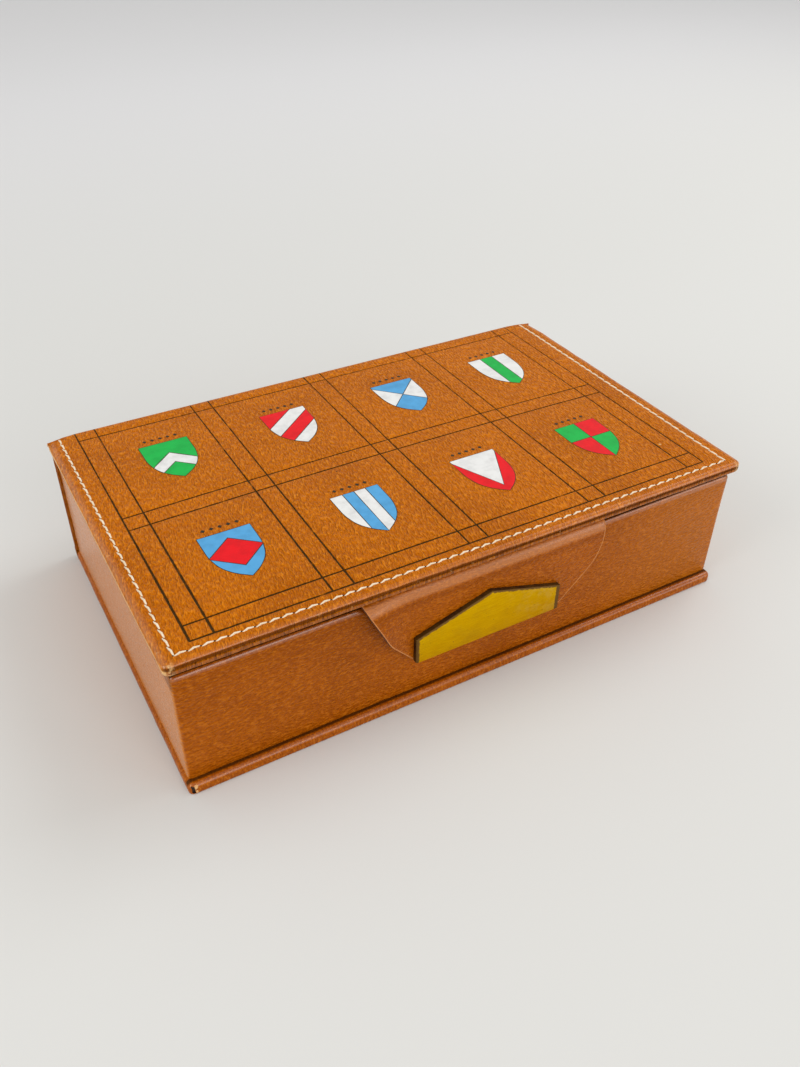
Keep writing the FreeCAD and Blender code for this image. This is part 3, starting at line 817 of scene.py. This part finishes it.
# %% [markdown]
# ## The back and its two rolled folds
#
# The hide leaves the base, rolls up into the back and rolls again into the lid. A row of points spun a
# quarter turn makes each roll. The upper one is the hinge between the case and the lid, and it has enough
# steps to stay round. The lower one is left hollow, and its end, painted dark as shade, shows beside the
# foot of the back.


# %% A quarter roll of hide
def quarter_roll(bm, start, centre, turn, steps, half, thick=HIDE):
    """Spin a row of points across the case about a line along X, and give the strip its thickness."""
    row = [bm.verts.new((x, *start)) for x in [-half, *steps_between(-half, half, 5 * MM), half]]
    edges = [bm.edges.new(pair) for pair in zip(row, row[1:])]
    middle = Vector((0, *centre))
    bmesh.ops.spin(bm, geom=row + edges, cent=middle, axis=(1, 0, 0), angle=turn, steps=steps)
    faces = [face for face in bm.faces if len(face.verts) == 4]
    for face in faces:
        outward = face.calc_center_median() - middle
        outward.x = 0
        if face.normal.dot(outward) < 0:
            face.normal_flip()
    bmesh.ops.solidify(bm, geom=faces, thickness=thick)


QUARTER = math.radians(90)
low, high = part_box("hinge_leather")
roll_centre = (low.y, low.z)
bm = bmesh.new()
quarter_roll(bm, (high.y, low.z), roll_centre, QUARTER, 12, high.x)
eased(bm, low.z, low.z + 2.5 * MM)
fold_start = Vector((0, high.y - HIDE / 2, low.z + HIDE / 2))
fold_end = Vector((0, low.y + HIDE / 2, high.z - HIDE / 2))
hinge_blend = ("case", "lid", fold_start, fold_end)
placed(bm, "hinge_roll", [roll_finish], blend=hinge_blend, stands_for=["hinge_leather"])

# %% The back
BACK_ROUND = 1.3 * MM
low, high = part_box("back_leather")
sleeve_low = Vector((low.x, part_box("back_board")[0].y - HIDE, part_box("back_board")[0].z))
bm = boxed(sleeve_low, high)
ends = [edge for edge in bm.edges if not same(edge.verts[0].co.z, edge.verts[1].co.z)]
rounded(bm, ends, BACK_ROUND, 4)
dropped(bm, lambda co: same(co.z, sleeve_low.z) or same(co.z, high.z))
sliced(bm, 0, steps_between(low.x + GRID_MARGIN, high.x - GRID_MARGIN, GRID))
sliced(bm, 2, steps_between(sleeve_low.z, high.z, GRID))
thickened(bm, HIDE)
foot = bmesh.new()
quarter_roll(foot, (high.y, sleeve_low.z), (low.y, sleeve_low.z), -QUARTER, 8, high.x)
joined(bm, foot)
placed(bm, "back_hide", [back_finish], "case", stands_for=["back_leather"])

# %% [markdown]
# ## The tray walls
#
# One smooth strip covers the four walls, goes over their rounded tops and is turned in. A cube loses its
# bottom, its top is inset by the wall's thickness, and the hole's rim is pulled down inside. Towards the
# right the outer lip is a little higher, and the right wall stands out a little.

# %% Cover of the walls
WALL_HIDE = 0.7 * MM
WALL_ROUND = 1.6 * MM
WALL_MARGIN, WALL_GRID = 5 * MM, 7 * MM
LIP_RISE, RISE_FROM, RISE_TO = 0.9 * MM, -20 * MM, 105 * MM
FLARE_FOOT, FLARE_MORE = 0.5 * MM, 0.4 * MM
low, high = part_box("wall_leather")
wall_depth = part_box("left_wall")[1].x - low.x + WALL_HIDE
bm = boxed(low, high)
dropped(bm, lambda co: same(co.z, low.z))
top = inset_top(bm, high.z, wall_depth)
bmesh.ops.delete(bm, geom=top, context="FACES_ONLY")
rim = [edge for edge in bm.edges if edge.is_boundary and same(edge.verts[0].co.z, high.z)]
pulled = bmesh.ops.extrude_edge_only(bm, edges=rim)["geom"]
moved(bm, pulled, (0, 0, -TURN_IN))
bmesh.ops.recalc_face_normals(bm, faces=bm.faces)
bm.normal_update()
arrises = [edge for edge in bm.edges if not edge.is_boundary and edge.calc_face_angle(0.0) > 0.5]
rounded(bm, arrises, WALL_ROUND, 5)
thickened(bm, WALL_HIDE)
sliced(bm, 0, steps_between(low.x + WALL_MARGIN, high.x - WALL_MARGIN, WALL_GRID))
sliced(bm, 1, steps_between(low.y + WALL_MARGIN, high.y - WALL_MARGIN, WALL_GRID))
sliced(bm, 2, steps_between(low.z, high.z - 2 * MM, 8 * MM))
wavered(bm, 0.14 * MM, 22 * MM, lambda co: co.z > low.z + MM)
for vertex in bm.verts:
    co = vertex.co
    front_side = smooth(low.y + 2.0 * MM, low.y + 0.5 * MM, co.y)
    right_side = smooth(high.x - 2.0 * MM, high.x - 0.4 * MM, co.x)
    near_top = smooth(high.z - 5.8 * MM, high.z - 0.8 * MM, co.z)
    co.z += LIP_RISE * max(front_side, right_side) * smooth(RISE_FROM, RISE_TO, co.x) * near_top
    co.x += right_side * (FLARE_FOOT + FLARE_MORE * smooth(low.z, high.z, co.z))
placed(bm, "wall_hide", [wall_finish], "case", stands_for=["wall_leather"])

# %% [markdown]
# ## The tongue
#
# The tongue is one flat piece of leather: wide where it is glued under the lid, narrowing to the plate. It is
# cut flat first, as a maker would, with its shoulders rounded by a vertex bevel. Then every point is moved
# along the path that the leather takes: under the lid, round a roll and down the wall. The left edge has
# curled away from the wall, which also draws it in, and its cut edge is painted dark as the shade under the
# curl; the right one is raw. Its suede lining follows the hanging part.

# %% Path of the tongue
root_low, root_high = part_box("flap_root")
fold_low, fold_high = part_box("flap_fold")
panel_low, panel_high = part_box("flap_leather")
TONGUE_HIDE = panel_high.y - panel_low.y
ROOT_LENGTH = root_high.y - root_low.y
ROLL = fold_high.z - fold_low.z
ROLL_LENGTH = ROLL * QUARTER
TONGUE_LENGTH = ROOT_LENGTH + ROLL_LENGTH + panel_high.z - panel_low.z
TIP_HALF = 31.25 * MM
LEFT_TIP = 29.2 * MM
SHOULDER, LEFT_SHOULDER = TONGUE_LENGTH - 16.3 * MM, TONGUE_LENGTH - 20.5 * MM
SHOULDER_ROUND, LEFT_SHOULDER_ROUND = 7.5 * MM, 14.0 * MM
CUT_RIM = 0.4 * MM
CURL, CURL_START, CURL_DRAW = 6.2 * MM, 29.0 * MM, 0.5


def curl_at(x, along):
    """How far the left edge has come away from the wall."""
    return CURL * smooth(CURL_START, panel_high.x + 6 * MM, -x) * smooth(ROOT_LENGTH, SHOULDER, along)


def on_tongue(x, along, sunk):
    """Where a point of the flat leather goes, sunk below the outer side by that much."""
    radius = ROLL - sunk
    if along < ROOT_LENGTH:
        return Vector((x, root_high.y - along, root_high.z - sunk))
    away = curl_at(x, along)
    drawn = x + away * CURL_DRAW
    turn = (along - ROOT_LENGTH) / ROLL
    if turn < QUARTER:
        y = fold_high.y - radius * math.sin(turn)
        return Vector((drawn, y - away, fold_low.z + radius * math.cos(turn)))
    down = along - ROOT_LENGTH - ROLL_LENGTH
    return Vector((drawn, panel_low.y + sunk - away, panel_high.z - down))


# %% Cut, bend and thicken a layer of the tongue
def tongue_layer(begin, inset, sunk, thick):
    """A layer that begins so far along, is smaller by the inset and lies so deep under the outer side."""
    bm = bmesh.new()
    wide, end = panel_high.x - inset, TONGUE_LENGTH - inset
    right = [(wide, 0.0), (wide, SHOULDER), (TIP_HALF - inset, end)]
    left = [(inset - LEFT_TIP, end), (-wide, LEFT_SHOULDER), (-wide, 0.0)]
    points = [bm.verts.new((x, along, 0)) for x, along in right + left]
    bm.faces.new(points)
    for shoulder, radius in ((points[1], SHOULDER_ROUND), (points[4], LEFT_SHOULDER_ROUND)):
        rounded(bm, [shoulder], radius, 10, "VERTICES")
    if begin > 0:
        halved(bm, (0, begin, 0), (0, 1, 0), clear_inner=True)
    for face in bmesh.ops.inset_region(bm, faces=bm.faces[:], thickness=CUT_RIM, use_boundary=True)["faces"]:
        face.material_index = 1
    bend_end = ROOT_LENGTH + ROLL_LENGTH
    turns = [ROOT_LENGTH + ROLL_LENGTH * step / 12 for step in range(13)]
    sliced(bm, 1, [level for level in turns if level > begin])
    sliced(bm, 1, steps_between(bend_end, end, 1.8 * MM))
    sliced(bm, 0, steps_between(-wide, wide, 2.4 * MM))
    for vertex in bm.verts:
        vertex.co = on_tongue(vertex.co.x, vertex.co.y, sunk)
    bm.normal_update()
    for face in bm.faces:
        away = face.calc_center_median() - Vector((0, fold_high.y, fold_low.z))
        if face.normal.dot(Vector((0, away.y, away.z if begin < bend_end - TINY else 0))) < 0:
            face.normal_flip()
    bmesh.ops.solidify(bm, geom=bm.faces[:], thickness=thick)
    return bm


# %% The tongue and its lining
CUT_FACE = 3.5 * MM * MM
LINING_INSET = 0.6 * MM
bm = tongue_layer(0.0, 0.0, 0.0, TONGUE_HIDE)
bm.normal_update()
for face in bm.faces:
    low_edge = face.normal.z < -0.9 and face.calc_center_median().z < panel_low.z + MM
    side_edge = abs(face.normal.x) > 0.55 and face.calc_area() < CUT_FACE
    # Painted shade: the cut edge on the curled left side gets the dark finish.
    if low_edge or side_edge:
        face.material_index = 1 if face.calc_center_median().x > -CURL_START else 2
bend_start = Vector((0, fold_high.y - TONGUE_HIDE / 2, fold_high.z - TONGUE_HIDE / 2))
bend_stop = Vector((0, fold_low.y + TONGUE_HIDE / 2, fold_low.z + TONGUE_HIDE / 2))
tongue_blend = ("lid", "flap", bend_start, bend_stop)
covered = ["flap_root", "flap_fold", "flap_leather"]
finishes = [tongue_finish, raw_edge, left_edge_shade]
placed(bm, "tongue", finishes, blend=tongue_blend, stands_for=covered)

lining_low, lining_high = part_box("flap_lining")
lining_begin = ROOT_LENGTH + ROLL_LENGTH + TINY
bm = tongue_layer(lining_begin, LINING_INSET, TONGUE_HIDE, lining_high.y - lining_low.y)
placed(bm, "tongue_lining", [suede_back], "flap", stands_for=["flap_lining"])

# %% [markdown]
# ## The brass plate
#
# Five points make the gable and one extrude its thickness. The front edges of the gable get a narrow flat
# bevel, as a file leaves it, and then every edge a fine rounding so that it catches light. The bottom edge
# stays square. The sides are brown with tarnish and painted darker still as shade.

# %% Plate
PLATE_BEVEL, PLATE_ROUND = 0.45 * MM, 0.11 * MM
low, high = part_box("brass_plate")
eaves = low.z + EAVES * MM
gable = [(low.x, low.z), (high.x, low.z), (high.x, eaves), (0.0, high.z), (low.x, eaves)]
bm = extruded([(x, high.y, z) for x, z in gable], (0, low.y - high.y, 0))
front_edges = edges_on(bm, lambda co: same(co.y, low.y))
rounded(bm, edges_off(front_edges, lambda co: co.z < low.z + MM), PLATE_BEVEL, 1)
bm.normal_update()
sharp = [edge for edge in bm.edges if edge.calc_face_angle(0.0) > 0.2]
rounded(bm, sharp, PLATE_ROUND, 2)
bm.normal_update()
for face in bm.faces:
    face.material_index = int(face.normal.y > -0.6 and face.normal.z > -0.3)
placed(bm, "gabled_plate", [brass_face, brass_side], "flap", stands_for=["brass_plate"], sharp=50.0)

# %% [markdown]
# ## Stitching
#
# A cream waxed thread runs along three edges of the lid. Each stitch is a short capsule: a coarse sphere
# whose halves are pulled apart, laid aslant, with its ends dipping into needle holes painted dark as shade.
# Along the sides the stitches are longer and the holes smaller, so the thread looks unbroken. There are over
# a hundred stitches, so each has only a few dozen faces.

# %% One stitch and its hole
STITCH_PITCH = 4.2 * MM
THREAD_RADIUS = 0.36 * MM
STITCH_SLANT = math.radians(9)
STITCH_DIP, STITCH_SWAY = 0.42 * MM, 0.30 * MM
FRONT_REACH, FRONT_HOLE = 1.0, 0.42 * MM
SIDE_REACH, SIDE_HOLE = 1.13, 0.28 * MM
random.seed(7)


def add_stitch(bm, middle, heading, pitch, reach):
    ball = bmesh.ops.create_uvsphere(bm, u_segments=8, v_segments=6, radius=THREAD_RADIUS)["verts"]
    half = pitch * random.uniform(0.39, 0.42) * reach
    for vertex in ball:
        pull = 0.0 if same(vertex.co.z, 0.0) else math.copysign(half, vertex.co.z)
        vertex.co = Vector((vertex.co.z + pull, vertex.co.x, vertex.co.y * 0.9))
        share = vertex.co.x / (half + THREAD_RADIUS)
        vertex.co.z -= STITCH_DIP * share**2
        vertex.co.y += STITCH_SWAY * (0.35 - share**2)
    turn = Matrix.Rotation(heading + STITCH_SLANT + random.uniform(-0.03, 0.03), 4, "Z")
    bmesh.ops.transform(bm, matrix=Matrix.Translation(middle) @ turn, verts=ball)


def add_hole(bm, middle, radius):
    dent = bmesh.ops.create_uvsphere(bm, u_segments=8, v_segments=4, radius=radius)["verts"]
    bmesh.ops.scale(bm, vec=(1, 1, 0.3), verts=dent)
    bmesh.ops.translate(bm, vec=middle, verts=dent)


# %% The three rows
lid_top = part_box("lid_leather")[1].z
thread_level = lid_top - STITCH_HOLLOW + THREAD_RADIUS * 0.6
seam_back = LID_BACK + 1.0 * MM
seam_left = [(STITCH_LEFT, seam_back), (STITCH_LEFT, STITCH_FRONT)]
seam_right = [(STITCH_RIGHT, STITCH_FRONT), (STITCH_RIGHT, seam_back)]
seam_path = [Vector((x, y, 0)) for x, y in seam_left + seam_right]
stitches, holes = bmesh.new(), bmesh.new()
for begin, end in zip(seam_path, seam_path[1:]):
    run = end - begin
    count = round(run.length / STITCH_PITCH)
    heading = math.atan2(run.y, run.x)
    along_front = same(begin.y, end.y)
    reach, hole = (FRONT_REACH, FRONT_HOLE) if along_front else (SIDE_REACH, SIDE_HOLE)
    for number in range(count):
        middle = begin + run * ((number + 0.5) / count)
        add_stitch(stitches, middle + Vector((0, 0, thread_level)), heading, run.length / count, reach)
        place = begin + run * (number / count)
        add_hole(holes, place + Vector((0, 0, lid_top - STITCH_HOLLOW)), hole)
for row in (stitches, holes):
    for vertex in row.verts:
        vertex.co.z -= sunk_corner(vertex.co)
placed(stitches, "edge_stitches", [thread], "lid")
placed(holes, "needle_holes", [hole_shade], "lid")

# %% [markdown]
# ## Painted shields
#
# Each panel of the lid holds a small painted shield. The shields here carry plain divisions only. A polygon
# with a bevelled belly is cut by straight planes into fields, each field is inset so that a dark line is left
# round it, and the whole is lifted a hair above the leather.

# %% Paints
def paint(name, colour):
    finish, wire, shader = new_finish(name)
    place = places(wire)
    grain = clouds(wire, place, 0.9, 3.0, 0.6)
    worn = clouds(wire, place, 4.0, 4.0, 0.6).ramp(0.35, 0.75)
    darker = tuple(part * 0.82 for part in colour[:3]) + (1.0,)
    feed(wire, shader, Base_Color=worn.between(colour, darker), Roughness=0.34 + grain * 0.2)
    feed(wire, shader, Normal=relief(wire, grain, 0.04), Specular_IOR_Level=0.2)
    return finish


PAINTS = {
    "outline": paint("outline_ink", shade(52, 40, 22)),
    "sky": paint("sky_paint", shade(82, 160, 212)),
    "green": paint("green_paint", shade(10, 176, 70)),
    "red": paint("red_paint", shade(226, 0, 18)),
    "white": paint("white_paint", shade(226, 226, 224)),
}
PAINT_NAMES = list(PAINTS)

# %% One shield
SHIELD_HALF, SHIELD_HEIGHT = 9.5, 26.0
SHIELD_LINE, SHIELD_THICK, SHIELD_LIFT = 0.24 * MM, 0.12 * MM, 0.07 * MM
BELLY_ROUND = 2.4 * MM
BELLY = ((1.0, 11.5), (0.83, 18.0), (0.46, 22.8))


def add_shield(bm, centre, top, cuts, colour_of):
    """Cut a shield by lines, each a point and a direction, and colour its fields by their middles."""
    shape = bmesh.new()
    right = [(share * SHIELD_HALF, deep) for share, deep in reversed(BELLY)] + [(SHIELD_HALF, 0.0)]
    left = [(-x, deep) for x, deep in reversed(right)]
    outline = [(0.0, SHIELD_HEIGHT), *right, *left]
    points = [shape.verts.new((x * MM, -deep * MM, 0)) for x, deep in outline]
    shape.faces.new(points)
    belly = [point for point, (_, deep) in zip(points, outline) if 0 < deep < SHIELD_HEIGHT]
    rounded(shape, belly, BELLY_ROUND, 4, "VERTICES")
    for (x, y), angle in cuts:
        normal = Vector((-math.sin(math.radians(angle)), math.cos(math.radians(angle)), 0))
        halved(shape, Vector((x, y, 0)) * MM, normal)
    groups = {}
    for face in shape.faces:
        middle = face.calc_center_median() / MM
        groups.setdefault(colour_of(middle.x, middle.y), []).append(face)
    bmesh.ops.recalc_face_normals(shape, faces=shape.faces)
    for colour, faces in groups.items():
        edge = bmesh.ops.inset_region(shape, faces=faces, thickness=SHIELD_LINE, use_boundary=True)["faces"]
        for face in faces:
            face.material_index = PAINT_NAMES.index(colour)
        for face in edge:
            face.material_index = PAINT_NAMES.index("outline")
    faced_up(shape)
    bmesh.ops.solidify(shape, geom=shape.faces[:], thickness=SHIELD_THICK)
    bmesh.ops.translate(shape, vec=(centre * MM, top * MM, lid_top + SHIELD_LIFT), verts=shape.verts)
    joined(bm, shape)


def in_chevron(x, y, top, deep):
    return top > y + abs(x) * 0.9 > top - deep


# %% The eight shields
BACK_ROW, FRONT_ROW = 45.2, -18.2
SHIELDS = [
    (-72.9, BACK_ROW, [((0, -8), -42), ((0, -8), 42), ((0, -15), -42), ((0, -15), 42), ((0, 0), 90)],
     lambda x, y: "white" if in_chevron(x, y, -8, 7) else "green"),
    (-24.3, BACK_ROW, [((0, -3), 40), ((0, -11), 40), ((0, -19), 40)],
     lambda x, y: ("red", "white", "red", "white")[sum(y - x * 0.839 < level for level in (-3, -11, -19))]),
    (25.2, BACK_ROW, [((0, -11), 45), ((0, -11), -45)],
     lambda x, y: "sky" if abs(y + 11) > abs(x) else "white"),
    (73.0, BACK_ROW, [((-3, 0), 90), ((3, 0), 90)],
     lambda x, y: "green" if abs(x) < 3 else "white"),
    (-73.0, FRONT_ROW, [((0, -4), 40), ((0, -20), 40), ((0, -4), -40), ((0, -20), -40)],
     lambda x, y: "red" if abs(x) * 0.839 + abs(y + 12) < 8 else "sky"),
    (-24.4, FRONT_ROW, [((-4.5, 0), 90), ((0, 0), 90), ((4.5, 0), 90)],
     lambda x, y: "white" if (x < -4.5 or 0 < x < 4.5) else "sky"),
    (24.6, FRONT_ROW, [((0, -22), 65), ((0, -22), -65)],
     lambda x, y: "white" if y > -22 + abs(x) * 2.14 else "red"),
    (72.3, FRONT_ROW, [((0, 0), 90), ((0, -11), 0)],
     lambda x, y: "green" if (x < 0) == (y > -11) else "red"),
]
bm = bmesh.new()
for centre, top, cuts, colour_of in SHIELDS:
    add_shield(bm, centre, top, cuts, colour_of)
placed(bm, "painted_shields", list(PAINTS.values()), "lid")

# %% [markdown]
# ## A row of tooled lozenges over each shield
#
# A narrow row of small pressed lozenges fills the strip above each shield.

# %% Lozenges
LOZENGE, LOZENGE_PITCH, LOZENGE_RISE = 0.85 * MM, 3.0 * MM, 3.2 * MM
LOZENGE_THICK, LOZENGE_LIFT = 0.1 * MM, 0.05 * MM
bm = bmesh.new()
for centre, top, _, _ in SHIELDS:
    for number in range(-2, 3):
        made = bmesh.ops.create_circle(bm, cap_ends=True, segments=4, radius=LOZENGE)["verts"]
        middle = (centre * MM + number * LOZENGE_PITCH, top * MM + LOZENGE_RISE, lid_top + LOZENGE_LIFT)
        bmesh.ops.translate(bm, vec=middle, verts=made)
faced_up(bm)
bmesh.ops.solidify(bm, geom=bm.faces[:], thickness=LOZENGE_THICK)
placed(bm, "tooled_lozenges", [PAINTS["outline"]], "lid")

# %% [markdown]
# ## Lining of the wells
#
# Thin suede is glued to the floor and the walls of the tray. It can't be pushed right into a corner, so it
# bridges each one in a small curve. A box is hollowed by an inset and an extrude, and a bevel on its inner
# corners makes the curves.

# %% Hollow a box and soften its inner corners
LINING, LINING_ROUND = 0.7 * MM, 1.4 * MM
low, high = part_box("tray_lining")
bm = boxed(low, high)
top = inset_top(bm, high.z, LINING)
pushed = bmesh.ops.extrude_face_region(bm, geom=top)["geom"]
bmesh.ops.delete(bm, geom=[face for face in top if face.is_valid], context="FACES_ONLY")
moved(bm, pushed, (0, 0, low.z + LINING - high.z))
bmesh.ops.recalc_face_normals(bm, faces=bm.faces)
corners = edges_on(bm, lambda co: abs(co.x) < high.x - LINING / 2 and abs(co.y) < high.y - LINING / 2)
rounded(bm, edges_off(corners, lambda co: same(co.z, high.z)), LINING_ROUND, 4)
placed(bm, "well_lining", [suede], "case", stands_for=["tray_lining"])

# %% [markdown]
# ## The pad inside the lid
#
# A thin foam pad in suede fills the lid and comes down to the tray walls. Its suede is painted dark as the
# shade in the gap under the lid. It is notched where the tongue is glued on. Eight points give its plan, and
# an extrude its thickness. Its edges are round, and its middle is a little fuller than its border, because
# the suede is drawn tight over the foam. It is too thin for a cloth simulation, so the fullness is a smooth
# rise away from the border.

# %% Cut the pad, round it and fill it
PAD_ROUND, PAD_RISE, PAD_SLOPE = 1.0 * MM, 0.75 * MM, 16.0 * MM
NOTCH_ROOM = 0.4 * MM
low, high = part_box("lid_lining")
well_low, well_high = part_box("tray_lining")
notch = Vector((root_high.x, root_high.y)) + Vector((NOTCH_ROOM, NOTCH_ROOM))
half_plan = [(notch.x, notch.y), (notch.x, low.y), (high.x, low.y), (high.x, high.y)]
plan = half_plan + [(-x, y) for x, y in reversed(half_plan)]
bm = extruded([(x, y, high.z) for x, y in plan], (0, 0, low.z - high.z))
posts = [edge for edge in bm.edges if not same(edge.verts[0].co.z, edge.verts[1].co.z)]
rounded(bm, [edge for edge in posts if edge.verts[0].co.y < notch.y - MM], PAD_ROUND, 4)
rim = edges_on(bm, lambda co: same(co.z, low.z))
rounded(bm, edges_off(rim, lambda co: same(co.y, high.y)), PAD_ROUND, 4)
sliced(bm, 0, steps_between(low.x, high.x, GRID))
sliced(bm, 1, steps_between(low.y, high.y, GRID))
for vertex in bm.verts:
    co = vertex.co
    if same(co.z, low.z):
        off_notch = max(co.y - notch.y, abs(co.x) - notch.x)
        off_walls = min(well_high.x - abs(co.x), well_high.y - co.y, co.y - well_low.y)
        co.z -= PAD_RISE * smooth(0.0, PAD_SLOPE, min(off_notch, off_walls))
pad = placed(bm, "lid_pad", [gap_shade_suede], "lid", stands_for=["lid_lining"])

# %% [markdown]
# ## Cloth in the hinge
#
# A strip of cloth is glued inside the hinge roll. Its two ends cover the raw ends of the lid board and the
# back board, which show when the lid lies open. The roll is spun as the leather was. The ends are thin
# rounded strips that ride on their own boards.

# %% Roll and two glued ends
CLOTH, CLOTH_ROUND = 0.4 * MM, 0.12 * MM
low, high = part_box("hinge_cloth")
bm = bmesh.new()
quarter_roll(bm, (high.y, low.z), roll_centre, QUARTER, 12, high.x, CLOTH)
cloth_tones = shade(150, 112, 76), shade(124, 90, 58)
hinge_cloth_finish = stuff("hinge_cloth_finish", *cloth_tones, 0.4, 0.05, 0.8, 0.0, 0.2, "rest")
placed(bm, "hinge_strip", [hinge_cloth_finish], blend=hinge_blend, stands_for=["hinge_cloth"])
glued_ends = {
    ("lid", "lid_end_cloth"): ((low.x, low.y, low.z), (high.x, low.y + CLOTH, high.z - CLOTH)),
    ("case", "back_end_cloth"): ((low.x, low.y + CLOTH, low.z), (high.x, high.y - CLOTH, low.z + CLOTH)),
}
for (body, name), (strip_low, strip_high) in glued_ends.items():
    bm = boxed(Vector(strip_low), Vector(strip_high))
    rounded(bm, bm.edges[:], CLOTH_ROUND, 2)
    placed(bm, name, [hinge_cloth_finish], body)

# %% [markdown]
# ## Pieces that keep their CAD shape
#
# Boards, papers, the loose partition, rivets and strips are flat or turned, and their solids are right. They
# keep them and only get a finish.

# %% Finishes of the solids
KEPT = {
    grey_board: ["base_board", "lid_board", "back_board", "front_wall", "back_wall", "left_wall",
                 "right_wall", "tray_floor"],
    plain_paper: ["base_paper", "lid_paper"],
    suede: ["divider"],
    steel: ["keeper_strip", "backing_strip"],
    brass_side: ["plate_rivet_left", "plate_rivet_right"],
    ferrite: ["flap_magnet"],
}
for finish, nodes in KEPT.items():
    for node in nodes:
        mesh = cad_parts[node].data
        mesh.materials.clear()
        mesh.materials.append(finish)
print("solids with a finish", sum(len(nodes) for nodes in KEPT.values()))

# %% [markdown]
# ## Floor and light
#
# A pale sheet lies under the case. A pale room lights it from all sides, and four wide soft lamps give the
# light its direction: a window in front, a lower one at the front right that draws the highlights on the
# rounded edges, a key high at the right, and a fill at the left for the left wall.

# %% Floor
sheet = bmesh.new()
bmesh.ops.create_grid(sheet, x_segments=1, y_segments=1, size=4.0)
mesh = bpy.data.meshes.new("floor")
sheet.to_mesh(mesh)
sheet.free()
finish, wire, shader = new_finish("pale_sheet")
_, along, _ = millimetres(wire, places(wire))
far = along.ramp(200.0, 900.0)
feed(wire, shader, Base_Color=far.between(shade(213, 213, 210), shade(225, 225, 226)))
feed(wire, shader, Roughness=0.7, Specular_IOR_Level=0.1)
mesh.materials.append(finish)
floor = linked("floor", mesh)

# %% Light
world = bpy.data.worlds.new("pale_room")
bpy.context.scene.world = world
world.use_nodes = True
world.node_tree.nodes["Background"].inputs["Color"].default_value = (1.0, 0.99, 0.975, 1.0)
world.node_tree.nodes["Background"].inputs["Strength"].default_value = 0.70


def soft_lamp(name, place, size, watts):
    """A round lamp that looks at the case."""
    lamp = linked(name, bpy.data.lights.new(name, "AREA"))
    lamp.data.shape = "DISK"
    lamp.data.size = size
    lamp.data.energy = watts
    lamp.location = place
    lamp.rotation_euler = (-Vector(place)).to_track_quat("-Z", "Y").to_euler()


soft_lamp("window", (0.10, -1.50, 0.75), 1.0, 6.0)
soft_lamp("side_window", (1.10, -1.20, 0.35), 0.8, 3.0)
soft_lamp("key", (0.90, 0.10, 1.00), 0.9, 5.5)
soft_lamp("fill", (-1.20, -0.10, 0.75), 0.9, 5.6)
